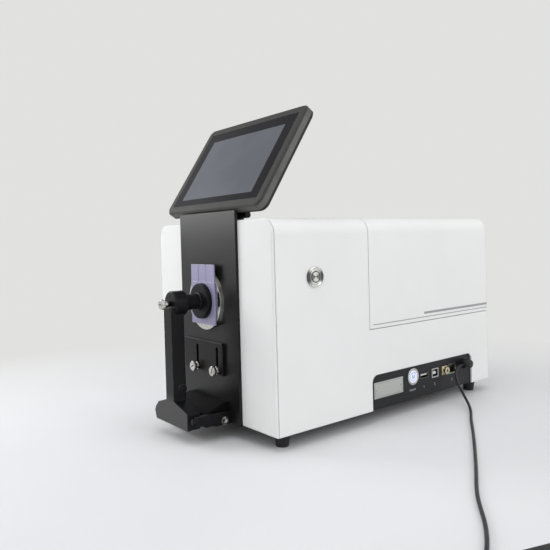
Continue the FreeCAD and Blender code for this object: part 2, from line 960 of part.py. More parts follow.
def make_clamp_ears():
    ears = []
    for sign in (-1, 1):
        near = sign * ear_inner
        far = sign * (ear_inner + ear_thick)
        x0 = min(near, far)
        x1 = max(near, far)
        nose = rod_x(ear_radius, x0, x1, -pivot_back, pivot_z)
        outline = [
            (-pivot_back, pivot_z + ear_radius), (-column_thick, pivot_z + ear_radius - ear_rear_drop),
            (-column_thick, ear_bottom), (ear_slope - pivot_back, ear_bottom),
            (-pivot_back, pivot_z - ear_radius),
        ]
        ear = joined([nose, prism_x(outline, x0, x1)])
        ear = ear.cut(rod_x(pivot_radius, x0 - 1, x1 + 1, -pivot_back, pivot_z))
        ear = ear.cut(rod_x(ear_screw_shank_radius, x0 - 1, x1 + 1, -ear_screw_back, ear_screw_z))
        ears.append(ear)
    return ears


def make_ear_screws():
    screws = []
    face = ear_inner + ear_thick
    for sign in (-1, 1):
        start = sign * (ear_inner - ear_screw_shank)
        end = sign * (face + ear_screw_head)
        seat = sign * face
        shank = rod_x(
            ear_screw_shank_radius, min(start, seat), max(start, seat), -ear_screw_back, ear_screw_z)
        head = rod_x(ear_screw_radius, min(seat, end), max(seat, end), -ear_screw_back, ear_screw_z)
        key = sign * (face + ear_screw_head - ear_screw_socket)
        past = sign * (face + ear_screw_head + 1)
        socket = rod_x(
            ear_screw_radius / 2, min(key, past), max(key, past), -ear_screw_back, ear_screw_z)
        screws.append(joined([shank, head]).cut(socket))
    return screws


def make_clamp_pin():
    end = ear_inner + ear_thick + pivot_overhang
    return rod_x(pivot_radius, -end, end, -pivot_back, pivot_z)


def make_clamp_arm():
    arm_half = arm_width / 2
    bar_top = bar_z + foot_bar_height
    root = bar_top + foot_bar_shoulder
    foot_outline = [
        (-bar_half + foot_bar_nose, bar_z), (bar_half, bar_z), (bar_half, bar_top),
        (arm_half, root), (-arm_half, root),
        (-bar_half + foot_bar_nose_step, bar_top + foot_bar_nose_rise),
        (-bar_half, bar_z + foot_bar_height / 2),
    ]
    foot = prism_y(foot_outline, -arm_front, -arm_front + arm_depth)
    back = -arm_front + arm_depth
    post_outline = [
        (-arm_front, root - 1), (back, root - 1), (back, port_z), (-barrel_front, port_z),
        (-barrel_front, port_z - arm_ledge_drop), (-arm_front, port_z - arm_ledge_drop),
    ]
    post = prism_x(post_outline, -arm_half, arm_half)
    barrel_back = -barrel_front + barrel_length
    barrel = rod_y(barrel_radius, -barrel_front, barrel_back, 0, port_z)
    barrel = rounded(barrel, barrel_end_wall, lambda c: c.y < -barrel_front + 0.01)
    lug_end = arm_half + lug_proud
    lug = rod_x(lug_radius, -lug_end, lug_end, -lug_back, floor_z + lug_rise)
    stub_end = lug_end + lug_pin_proud
    stub = rod_x(lug_pin_radius, -stub_end, stub_end, -lug_back, floor_z + lug_rise)
    arm = joined([foot, post, barrel, lug, stub])
    bore_front = -barrel_front + barrel_end_wall
    arm = arm.cut(rod_y(rod_radius + run_fit, bore_front, barrel_back + 1, 0, port_z))
    arm = arm.cut(rod_y(stem_radius + run_fit, -barrel_front - 1, barrel_back, 0, port_z))
    return arm.cut(rod_x(pivot_radius + run_fit, -bar_half - 1, bar_half + 1, -pivot_back, pivot_z))


def make_plunger_rod():
    barrel_back = -barrel_front + barrel_length
    shoulder = barrel_back - rod_entry
    rod = rod_y(rod_radius, shoulder, pad_face - pad_thick, 0, port_z)
    core = rod_y(pad_core_radius, pad_face - pad_thick - 2, pad_face - pad_thick, 0, port_z)
    stem = rod_y(stem_radius, -knob_reach + knob_length / 2, shoulder + 1, 0, port_z)
    return joined([rod, core, stem])


def make_plunger_pad():
    pad = rod_y(pad_radius, pad_face - pad_thick, pad_face, 0, port_z)
    return rounded(pad, pad_thick / 4, lambda c: c.y < pad_face - pad_thick + 0.01)


def make_plunger_knob():
    head = rod_y(knob_radius, -knob_reach, -knob_reach + knob_length, 0, port_z)
    head = rounded(head, knob_length / 6, lambda c: True)
    neck_end = -knob_reach + knob_length + knob_neck
    neck = rod_y(knob_neck_radius, -knob_reach + knob_length - 1, neck_end, 0, port_z)
    bore = rod_y(stem_radius, -knob_reach + knob_length / 2, neck_end + 1, 0, port_z)
    return joined([head, neck]).cut(bore)


# Sample plaque and sample rest

def make_sample_plaque():
    bottom = port_z - plaque_drop
    side = plaque_width / 2
    step_z = bottom + plaque_step_height
    face = plaque_front + plaque_step_thick
    plate = box(-side, side, face, plaque_back, bottom, bottom + plaque_height)
    pieces = [plate, box(-side, side, plaque_front, face + 0.1, bottom, step_z)]
    strip = (plaque_width - plaque_strip_gap * (plaque_strip_count - 1)) / plaque_strip_count
    for index in range(plaque_strip_count):
        x = -side + index * (strip + plaque_strip_gap)
        pieces.append(box(
            x, x + strip, face - plaque_step_thick / 2, face + 0.1, step_z - 0.1,
            bottom + plaque_height))
    return joined(pieces)


def make_sample_rest():
    back = rest_face + rest_thick
    plate = box(-rest_left, rest_right, rest_face, back, rest_z, rest_z + rest_height)
    slot_low = rest_z + slot_foot
    for x in rest_screw_places():
        middle_low = slot_low + slot_width / 2
        middle_high = slot_low + slot_length - slot_width / 2
        slot = joined([
            rod_y(slot_width / 2, rest_face - 1, back + 1, x, middle_low),
            rod_y(slot_width / 2, rest_face - 1, back + 1, x, middle_high),
            box(x - slot_width / 2, x + slot_width / 2, rest_face - 1, back + 1,
                middle_low, middle_high),
        ])
        plate = plate.cut(slot)
    return plate


def make_rest_screw(x):
    collar_back = rest_face - slip
    collar_front = collar_back - rest_collar_thick
    neck_front = collar_front - rest_neck_length
    head_front = neck_front - rest_head_length
    head = rod_y(rest_head_radius, head_front, neck_front, x, rest_screw_z)
    head = rounded(head, rest_head_length / 5, lambda c: c.y < head_front + 0.01)
    return joined([
        head,
        rod_y(rest_neck_radius, neck_front - 0.5, collar_front + 0.5, x, rest_screw_z),
        rod_y(rest_collar_radius, collar_front, collar_back, x, rest_screw_z),
        rod_y(rest_screw_radius, collar_back - 0.5, rest_screw_tail, x, rest_screw_z),
    ])


# Power lead

def unit(vector):
    return FreeCAD.Vector(vector).normalize()


def route_tube(name, points):
    """A tube of straight runs joined by tangent arcs, with its radii and volume printed."""
    edges = []
    start = points[0]
    for before, corner, after in zip(points, points[1:], points[2:]):
        first = corner - before
        second = after - corner
        turn = first.getAngle(second)
        setback = 0.45 * min(first.Length, second.Length)
        radius = setback / math.tan(turn / 2)
        print(name, "radius", round(radius, 1))
        into = corner - unit(first) * setback
        out = corner + unit(second) * setback
        bulge = radius / math.cos(turn / 2) - radius
        middle = corner + unit(unit(second) - unit(first)) * bulge
        edges.append(Part.LineSegment(start, into).toShape())
        edges.append(Part.Arc(into, middle, out).toShape())
        start = out
    edges.append(Part.LineSegment(start, points[-1]).toShape())
    return swept(name, Part.Wire(edges), points[0], points[1] - points[0])


def swept(name, wire, start, direction):
    """A round tube along a wire, with its volume compared with its section times its length."""
    circle = Part.Wire([Part.Circle(start, direction, cord_radius).toShape()])
    tube = wire.makePipeShell([circle], True, False)
    expected = math.pi * cord_radius ** 2 * wire.Length
    print(name, "length", round(wire.Length, 1), "volume ratio", round(tube.Volume / expected, 4))
    return tube


def coil_point(turn):
    """A point of the coil: spiral in below, climb in half a turn, spiral out above."""
    outer = coil_middle_radius + coil_pitch * coil_layer_turns / 2
    inner = outer - coil_pitch * coil_layer_turns
    height = coil_lift + cord_radius + cord_lift
    past = turn - coil_layer_turns
    if past <= 0:
        radius = outer - coil_pitch * turn
    elif past < 0.5:
        radius = inner - coil_pitch * past + 2 * coil_pitch * past ** 2
        share = past / 0.5
        height += coil_pitch * share ** 2 * (3 - 2 * share)
    else:
        radius = inner + coil_pitch * (past - 0.5)
        height += coil_pitch
    angle = -2 * math.pi * turn
    x, y = coil_centre
    return V(x + radius * math.cos(angle), y + radius * math.sin(angle), height)


def coil_direction(turn):
    """The coil's heading, from two close points."""
    step = 1e-5
    return unit(coil_point(turn + step) - coil_point(turn - step))


def biarc(start, heading, end, last_heading):
    """Two tangent arcs between two points with given headings."""
    chord = end - start
    both = heading + last_heading
    a = 2 * (1 - heading.dot(last_heading))
    b = 2 * chord.dot(both)
    c = -chord.dot(chord)
    reach = (-b + math.sqrt(b * b - 4 * a * c)) / (2 * a)
    joint = (start + end + (heading - last_heading) * reach) * 0.5
    return [arc_from(start, heading, joint), arc_from(joint, unit(end - last_heading * reach - joint), end)]


def arc_from(start, heading, end):
    """An arc that leaves a point with a heading and reaches another point."""
    chord = end - start
    side = unit(chord - heading * chord.dot(heading))
    angle = math.acos(max(-1, min(1, unit(chord).dot(heading))))
    radius = chord.Length / (2 * math.sin(angle))
    centre = start + side * radius
    middle = centre - side * radius * math.cos(angle) + heading * radius * math.sin(angle)
    return Part.Arc(start, middle, end).toShape()


def coil_turns():
    return 2 * coil_layer_turns + 0.5


def coil_ends():
    """Where the coil's two straight ends stop, with their headings along the lead."""
    first = coil_direction(1e-4)
    last = coil_direction(coil_turns() - 1e-4)
    return (
        coil_point(0) - first * cord_diameter, first,
        coil_point(coil_turns()) + last * cord_diameter, last)


def coil_knots():
    """The turns at which one biarc ends and the next starts."""
    lower = [coil_layer_turns * i / coil_layer_knots for i in range(coil_layer_knots + 1)]
    climb = [coil_layer_turns + 0.125 * i for i in range(1, 5)]
    return lower + climb + [coil_layer_turns + 0.5 + turn for turn in lower[1:]]


def make_cord_coil():
    start, first, end, last = coil_ends()
    knots = coil_knots()
    headings = [first] + [coil_direction(t) for t in knots[1:-1]] + [last]
    points = [coil_point(t) for t in knots]
    edges = [Part.LineSegment(start, points[0]).toShape()]
    for index in range(len(knots) - 1):
        edges += biarc(points[index], headings[index], points[index + 1], headings[index + 1])
    edges.append(Part.LineSegment(points[-1], end).toShape())
    wire = Part.Wire(edges)
    print_self_gap(wire)
    return swept("dc_cord_coil", wire, start, first)


def print_self_gap(wire):
    """Prints the least gap of the coil to itself, measured on points along it."""
    points = wire.discretize(Number=700)
    step = wire.Length / 699
    apart = int(3 * cord_diameter / step)
    least = min(
        points[i].distanceToPoint(points[j])
        for i in range(len(points)) for j in range(i + apart, len(points)))
    print("dc_cord_coil least gap", round(least - cord_diameter, 3))


def make_dc_cord():
    start, first, _, _ = coil_ends()
    points = [plug_exit, plug_exit - V(0, cord_straight, 0)]
    points += [V(jack_face + x, jack_y + y, z) for x, y, z in cord_fall]
    points += [V(jack_face + x, jack_y + y, cord_radius + cord_lift) for x, y in cord_lay]
    return route_tube("dc_cord", points + [start - first * coil_lead, start])


def make_cord_tail():
    _, _, end, last = coil_ends()
    entry = V(adapter_left, adapter_middle_y, relief_height)
    turn = math.radians(adapter_turn)
    along = V(math.cos(turn), math.sin(turn), 0)
    relief_start = entry - along * relief_length
    points = [end, end + last * tail_lead, relief_start - along * tail_lead, relief_start]
    return route_tube("dc_cord_tail", points)


def make_cord_tie():
    """A band round the coil's turns on the side away from its ends."""
    outer = coil_middle_radius + coil_pitch * coil_layer_turns / 2 + cord_radius + gap
    inner = coil_middle_radius - coil_pitch * coil_layer_turns / 2 - cord_radius - coil_pitch / 2
    top = coil_lift + cord_diameter + coil_pitch + gap
    x, y = coil_centre
    y0 = y - tie_width / 2
    y1 = y + tie_width / 2
    t = tie_thick
    room = box(x - outer, x - inner, y0 - 1, y1 + 1, cord_lift + t, top)
    return box(x - outer - t, x - inner + t, y0, y1, cord_lift, top + t).cut(room)


def make_dc_plug():
    face = jack_face + plug_clear
    end = plug_exit.x + plug_radius
    body = rod_x(plug_radius, face, end, jack_y, jack_z)
    body = rounded(body, plug_radius / 4, lambda c: c.x > end - 0.01)
    pin = rod_x(plug_pin_radius, face - plug_pin_length, face + 1, jack_y, jack_z)
    handle = Part.makeCone(cord_radius + gap, handle_radius, handle_length, plug_exit, V(0, 1, 0))
    return joined([body, pin, handle])


def make_power_adapter():
    y0 = adapter_middle_y - adapter_width / 2
    right = adapter_left + adapter_length
    brick = box(adapter_left, right, y0, y0 + adapter_width, 0, adapter_height)
    brick = brick.makeFillet(adapter_round, brick.Edges)
    relief = Part.makeCone(
        cord_radius + gap, relief_radius, relief_length + adapter_round,
        V(adapter_left - relief_length, adapter_middle_y, relief_height), V(1, 0, 0))
    inlet = box(
        right - inlet_depth, right + 1, adapter_middle_y - inlet_width / 2,
        adapter_middle_y + inlet_width / 2, (adapter_height - inlet_height) / 2,
        (adapter_height + inlet_height) / 2)
    adapter = joined([brick, relief]).cut(inlet)
    adapter.rotate(V(adapter_left, adapter_middle_y, 0), V(0, 0, 1), adapter_turn)
    return adapter


os.makedirs("parts", exist_ok=True)

export("front_panel", [make_front_panel()])
export("main_shell", [make_main_shell()])
export("lid", [make_lid()])
export("base_plate", [make_base_plate()])
export("deck_plate", [make_deck_plate()])
export("feet", make_feet())
export("lid_hinge_fixed", [make_hinge_half(x, -1, hinge_pin_radius) for x in hinge_places()])
export("lid_hinge_moving", [make_hinge_half(x, 1, hinge_pin_radius + run_fit) for x in hinge_places()])
export("lid_hinge_pins", [make_hinge_pin(x) for x in hinge_places()])

export("column", [make_column()])
export("port_ring", [make_port_ring()])
export("aperture_insert", [make_aperture_insert()])
export("sphere_front", [make_sphere_half(True)])
export("sphere_rear", [make_sphere_half(False)])
export("sphere_stand", [make_sphere_stand()])
export("lamp_module", [make_lamp_module()])
export("trap_motor", [make_trap_motor()])
export("trap_shutter", [make_trap_shutter()])

export("spectrometer_case", [make_spectrometer_case()])
export("viewing_lens", [make_viewing_lens()])
export("viewing_glass", [make_viewing_glass()])
export("grating", [make_grating()])
export("sensor_board", [make_sensor_board()])
export("sample_rail", [make_sample_rail()])

export("main_board", [make_main_board()])

export("io_panel", [make_io_panel()])
export("io_board", [make_io_board()])
export("label_plate", [make_label_plate()])
export("usb_a_socket", [make_socket(usb_a_offset, usb_a_width, usb_a_height, socket_skin)])
export("usb_b_socket", [make_socket(usb_b_offset, usb_b_width, usb_b_height, usb_b_skin)])
export("network_socket", [make_socket(network_offset, network_width, network_height, network_skin)])
export("coax_socket", [make_coax_socket()])
export("dc_jack", [make_dc_jack()])

export("test_button_body", [make_button_body(
    test_button_offset, port_z + test_button_rise, half, test_bezel_radius, test_bezel_proud,
    test_body_radius, test_bore_radius, test_body_length)])
export("test_button_cap", [make_button_cap(
    test_button_offset, port_z + test_button_rise, half, test_cap_proud, test_bore_radius,
    test_cap_length)])
export("power_button_body", [make_button_body(
    power_y, power_z, panel_face, power_bezel_radius, power_bezel_proud, power_body_radius,
    power_bore_radius, power_body_length)])
export("power_button_cap", [make_button_cap(
    power_y, power_z, panel_face, power_cap_proud, power_bore_radius, power_cap_length)])

export("display_housing", [make_display_housing()])
export("display_glass", [make_display_glass()])
export("display_knuckles", make_display_knuckles())
export("display_bracket", [make_display_bracket()])
export("display_pin", [make_tilt_pin()])

export("clamp_base", [make_clamp_base()])
export("clamp_ears", make_clamp_ears())
export("clamp_ear_screws", make_ear_screws())
export("clamp_pin", [make_clamp_pin()])
export("clamp_arm", [make_clamp_arm()])
export("plunger_rod", [make_plunger_rod()])
export("plunger_pad", [make_plunger_pad()])
export("plunger_knob", [make_plunger_knob()])

export("sample_plaque", [make_sample_plaque()])
export("sample_rest", [make_sample_rest()])
for side_name, screw_x in zip(("left", "right"), rest_screw_places()):
    export("rest_screw_" + side_name, [make_rest_screw(screw_x)])

export("dc_plug", [make_dc_plug()])
export("dc_cord", [make_dc_cord()])
export("dc_cord_coil", [make_cord_coil()])
export("dc_cord_tail", [make_cord_tail()])
export("cord_tie", [make_cord_tie()])
export("power_adapter", [make_power_adapter()])
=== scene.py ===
import bpy
import bmesh
import json
import math
from mathutils import Matrix, Vector


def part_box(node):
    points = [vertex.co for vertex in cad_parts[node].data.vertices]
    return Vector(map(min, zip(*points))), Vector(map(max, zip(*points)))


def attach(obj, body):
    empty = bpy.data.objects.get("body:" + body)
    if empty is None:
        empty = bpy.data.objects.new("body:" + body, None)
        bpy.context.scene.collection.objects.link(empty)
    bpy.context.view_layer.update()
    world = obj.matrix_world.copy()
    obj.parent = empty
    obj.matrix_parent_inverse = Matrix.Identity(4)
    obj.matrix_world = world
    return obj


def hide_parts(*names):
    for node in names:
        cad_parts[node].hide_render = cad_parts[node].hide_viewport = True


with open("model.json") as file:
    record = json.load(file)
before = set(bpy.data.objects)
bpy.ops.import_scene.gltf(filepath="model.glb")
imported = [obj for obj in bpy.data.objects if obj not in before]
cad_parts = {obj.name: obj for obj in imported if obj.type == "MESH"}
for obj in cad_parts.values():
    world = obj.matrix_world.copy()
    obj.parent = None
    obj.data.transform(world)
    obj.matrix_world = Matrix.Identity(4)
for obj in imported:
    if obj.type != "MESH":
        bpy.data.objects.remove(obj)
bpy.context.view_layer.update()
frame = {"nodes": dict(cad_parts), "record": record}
nodes = frame["nodes"]
scene = bpy.context.scene
scene.view_settings.view_transform = "Standard"
MM = 0.001

# The front panel's face gives the zero of the part's own measures
panel_low, panel_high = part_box("front_panel")
ZERO = Vector(((panel_low[0] + panel_high[0]) / 2, panel_low[1], 0))


def at(x, y, z):
    """A place in the part's own measures, in millimetres, to metres in the row frame."""
    return ZERO + Vector((x, y, z)) * MM


def facing(place, right, up):
    """A plane to build on: first axis to the right, second up, third out of the surface."""
    right, up = Vector(right), Vector(up)
    turn = Matrix((right, up, right.cross(up))).transposed().to_4x4()
    turn.translation = place
    return turn


# Camera at the photograph's viewing angle

CAMERA_PLACE = (525.63, -331.46, 193.29)
CAMERA_YAW = 51.47
CAMERA_PITCH = 1.29
CAMERA_ROLL = -1.54
IMAGE_SIDE = 550
FOCAL_PIXELS = 598.37
SHIFT_PIXELS = 21.0


def make_camera():
    yaw, pitch, roll = (math.radians(v) for v in (CAMERA_YAW, CAMERA_PITCH, CAMERA_ROLL))
    level = math.cos(pitch)
    forward = Vector((-math.sin(yaw) * level, math.cos(yaw) * level, -math.sin(pitch)))
    right = Vector((math.cos(yaw), math.sin(yaw), 0))
    up = right.cross(forward)
    data = bpy.data.cameras.new("camera")
    data.sensor_width = 36
    data.lens = FOCAL_PIXELS / IMAGE_SIDE * data.sensor_width
    data.shift_y = -SHIFT_PIXELS / IMAGE_SIDE
    data.clip_start = 0.01
    camera = bpy.data.objects.new("camera", data)
    camera.matrix_world = facing(
        at(*CAMERA_PLACE),
        right * math.cos(roll) + up * math.sin(roll),
        up * math.cos(roll) - right * math.sin(roll))
    scene.collection.objects.link(camera)
    scene.camera = camera


# Materials

def shade(color, by):
    return tuple(c * by for c in color)


class Look:
    """A material with a principled shader and short ways to add texture nodes."""

    def __init__(self, name, color, roughness, metallic=0.0, specular=0.5):
        self.material = bpy.data.materials.new(name)
        self.material.use_nodes = True
        self.tree = self.material.node_tree
        self.shader = self.tree.nodes["Principled BSDF"]
        self.set("Base Color", (*color, 1))
        self.set("Roughness", roughness)
        self.set("Metallic", metallic)
        self.set("Specular IOR Level", specular)
        self.coords = self.node("ShaderNodeTexCoord").outputs["Object"]
        self.rounding = None
        self.paint = None

    def set(self, socket, value):
        self.shader.inputs[socket].default_value = value

    def node(self, kind, **values):
        made = self.tree.nodes.new(kind)
        for key, value in values.items():
            setattr(made, key, value)
        return made

    def link(self, source, target):
        self.tree.links.new(source, target)

    def joined(self, operation, first, second):
        """Two factors put together by a math node."""
        made = self.node("ShaderNodeMath", operation=operation)
        self.link(first, made.inputs[0])
        self.link(second, made.inputs[1])
        return made.outputs["Value"]

    def mapped(self, scale=(1, 1, 1), location=(0, 0, 0)):
        """The object's own coordinates, stretched and moved."""
        made = self.node("ShaderNodeMapping")
        made.inputs["Scale"].default_value = scale
        made.inputs["Location"].default_value = location
        self.link(self.coords, made.inputs["Vector"])
        return made.outputs["Vector"]

    def noise(self, scale, detail=3.0, stretch=(1, 1, 1)):
        made = self.node("ShaderNodeTexNoise")
        made.inputs["Scale"].default_value = scale
        made.inputs["Detail"].default_value = detail
        self.link(self.mapped(stretch), made.inputs["Vector"])
        return made.outputs["Fac"]

    def rings(self, scale, centre, axis):
        """Lathe lines about a turned piece's own axis."""
        made = self.node("ShaderNodeTexWave", wave_type="RINGS", rings_direction=axis)
        made.inputs["Scale"].default_value = scale
        made.inputs["Distortion"].default_value = 0.6
        self.link(self.mapped(location=-centre), made.inputs["Vector"])
        return made.outputs["Fac"]

    def beside(self, centre, axis):
        """How far a place lies beside a level axis rather than over or under it, from 0 to 1."""
        kept = Vector((0, 1, 1) if axis == "X" else (1, 0, 1))
        unit = self.node("ShaderNodeVectorMath", operation="NORMALIZE")
        self.link(self.mapped(kept, -centre * kept), unit.inputs[0])
        split = self.node("ShaderNodeSeparateXYZ")
        self.link(unit.outputs["Vector"], split.inputs["Vector"])
        rise = self.node("ShaderNodeMath", operation="ABSOLUTE")
        self.link(split.outputs["Z"], rise.inputs[0])
        return self.between(rise.outputs["Value"], 1, 0, 0.4, 0.85)

    def between(self, factor, low, high, start=0.35, end=0.65):
        """A factor mapped so that start gives low and end gives high."""
        made = self.node("ShaderNodeMapRange")
        for socket, value in zip(("From Min", "From Max", "To Min", "To Max"), (start, end, low, high)):
            made.inputs[socket].default_value = value
        self.link(factor, made.inputs["Value"])
        return made.outputs["Result"]

    def mottle(self, factor, first, second):
        """Base colour that wanders between two colours."""
        made = self.node("ShaderNodeMix", data_type="RGBA")
        made.inputs["A"].default_value = (*first, 1)
        made.inputs["B"].default_value = (*second, 1)
        self.link(self.between(factor, 0, 1), made.inputs["Factor"])
        self.paint = made.outputs["Result"]
        self.link(self.paint, self.shader.inputs["Base Color"])

    def vary_roughness(self, factor, low, high):
        self.link(self.between(factor, low, high, 0.2, 0.8), self.shader.inputs["Roughness"])

    def edges(self, radius):
        """Rounds sharp edges in the shading and returns how near an edge is, from 0 to 1."""
        bevel = self.node("ShaderNodeBevel", samples=6)
        bevel.inputs["Radius"].default_value = radius
        self.rounding = bevel.outputs["Normal"]
        flat = self.node("ShaderNodeNewGeometry").outputs["Normal"]
        dot = self.node("ShaderNodeVectorMath", operation="DOT_PRODUCT")
        self.link(self.rounding, dot.inputs[0])
        self.link(flat, dot.inputs[1])
        return self.between(dot.outputs["Value"], 1, 0, 0.75, 0.995)

    def rub_and_light_edges(self, edge, color):
        """Edges tinted to another colour in patches: rubbed finish on most looks, painted highlight on
        the bezel's and pad's edges and partly on the black alloy's.
        """
        patches = self.between(self.noise(160, 4), 0, 1, 0.42, 0.62)
        self.tinted(self.joined("MULTIPLY", edge, patches), color)

    def tinted(self, factor, color):
        """Another colour over the base colour, as far as a factor goes."""
        made = self.node("ShaderNodeMix", data_type="RGBA")
        made.inputs["B"].default_value = (*color, 1)
        self.link(factor, made.inputs["Factor"])
        self.link(self.paint, made.inputs["A"])
        self.paint = made.outputs["Result"]
        self.link(self.paint, self.shader.inputs["Base Color"])

    def reach(self, vector, direction, start, end):
        """How far a vector reaches along a direction, from 0 at the start to 1 at the end."""
        dot = self.node("ShaderNodeVectorMath", operation="DOT_PRODUCT")
        dot.inputs[1].default_value = direction
        self.link(vector, dot.inputs[0])
        return self.between(dot.outputs["Value"], 0, 1, start, end)

    def turned(self, direction, start, end):
        """How far the surface faces a direction of the object's own space."""
        return self.reach(self.node("ShaderNodeTexCoord").outputs["Normal"], direction, start, end)

    def along(self, direction, start, end):
        """How far a place lies along a direction, between two distances."""
        return self.reach(self.coords, direction, start, end)

    def bump(self, height, distance):
        made = self.node("ShaderNodeBump")
        made.inputs["Distance"].default_value = distance
        self.link(height, made.inputs["Height"])
        if self.rounding:
            self.link(self.rounding, made.inputs["Normal"])
        self.link(made.outputs["Normal"], self.shader.inputs["Normal"])

    def glow(self, color, strength):
        self.set("Emission Color", (*color, 1))
        self.set("Emission Strength", strength)


def painted(name, color, roughness, edge_wear_and_light, specular=0.5, edge=0.0006, cloud=0.025):
    """Sprayed paint: fine orange peel, cloudy gloss, edges slightly rubbed, on the black alloy partly a
    painted edge highlight.
    """
    look = Look(name, color, roughness, 0.0, specular)
    look.mottle(look.noise(14, 5), shade(color, 1 - cloud), shade(color, 1 + cloud))
    look.rub_and_light_edges(look.edges(edge), edge_wear_and_light)
    look.vary_roughness(look.noise(22, 4), roughness - 0.05, roughness + 0.06)
    look.bump(look.noise(1500, 2), 0.00002)
    return look


def moulded(name, color, roughness, edge_wear_and_light, specular=0.5, grain=2000, depth=0.00004, edge=0.0005):
    """Moulded plastic or rubber with a fine grain."""
    look = Look(name, color, roughness, 0.0, specular)
    look.mottle(look.noise(35, 5), shade(color, 0.85), shade(color, 1.18))
    look.rub_and_light_edges(look.edges(edge), edge_wear_and_light)
    look.vary_roughness(look.noise(60, 3), roughness - 0.06, roughness + 0.08)
    look.bump(look.noise(grain, 2), depth)
    return look


def brushed(name, color, roughness, stretch):
    """Metal with fine parallel scratches."""
    look = Look(name, color, roughness, 1.0)
    lines = look.noise(900, 3, stretch)
    look.mottle(lines, shade(color, 0.86), shade(color, 1.08))
    look.edges(0.0003)
    look.vary_roughness(lines, roughness - 0.07, roughness + 0.1)
    look.bump(lines, 0.00003)
    return look


def polished(name, color, roughness):
    """Bright metal with faint smears."""
    look = Look(name, color, roughness, 1.0)
    look.mottle(look.noise(120, 4), shade(color, 0.88), color)
    look.edges(0.0004)
    look.vary_roughness(look.noise(240, 4), roughness, roughness + 0.1)
    look.bump(look.noise(3000, 2), 0.000004)
    return look


def lathed(name, color, roughness, centre, axis, depth=0.00002, dark=None):
    """Metal turned on a lathe: fine rings about its axis and, if asked, darker wedges at both sides,
    painted shade standing in for turned metal's bow-tie reflection.
    """
    look = Look(name, color, roughness, 1.0)
    lines = look.rings(700, centre, axis)
    look.mottle(look.noise(300, 4), shade(color, 0.85), color)
    if dark:
        look.tinted(look.beside(centre, axis), dark)
    look.edges(0.0004)
    look.vary_roughness(lines, roughness - 0.04, roughness + 0.06)
    look.bump(lines, depth)
    return look


def circuit_board():
    """Green solder mask over a grid of traces."""
    look = Look("board_green", (0.03, 0.16, 0.07), 0.35)
    traces = look.node("ShaderNodeTexBrick")
    traces.inputs["Scale"].default_value = 60
    traces.inputs["Mortar Size"].default_value = 0.012
    traces.inputs["Color1"].default_value = (0.02, 0.15, 0.06, 1)
    traces.inputs["Color2"].default_value = (0.03, 0.19, 0.08, 1)
    traces.inputs["Mortar"].default_value = (0.25, 0.34, 0.12, 1)
    look.link(look.coords, traces.inputs["Vector"])
    look.link(traces.outputs["Color"], look.shader.inputs["Base Color"])
    look.bump(traces.outputs["Fac"], 0.00004)
    return look


def smeared_glass(name, first, second, specular):
    """Glossy cover glass with faint smears."""
    look = Look(name, first, 0.1, 0.0, specular)
    look.mottle(look.noise(18, 5), first, second)
    look.vary_roughness(look.noise(40, 5), 0.07, 0.16)
    look.bump(look.noise(400, 2), 0.000002)
    return look


def clear_glass():
    """Lens glass with a faint tint."""
    look = Look("lens_glass", (0.7, 0.76, 0.8), 0.04)
    look.mottle(look.noise(60, 3), (0.62, 0.7, 0.76), (0.76, 0.8, 0.84))
    look.vary_roughness(look.noise(90, 3), 0.02, 0.08)
    look.set("Transmission Weight", 0.85)
    look.set("IOR", 1.5)
    return look


def lit_lens(name, first, second, light, strength):
    """Translucent plastic lit from behind."""
    look = Look(name, first, 0.3)
    look.mottle(look.noise(240, 3), first, second)
    look.bump(look.noise(1800, 2), 0.00001)
    look.glow(light, strength)
    return look


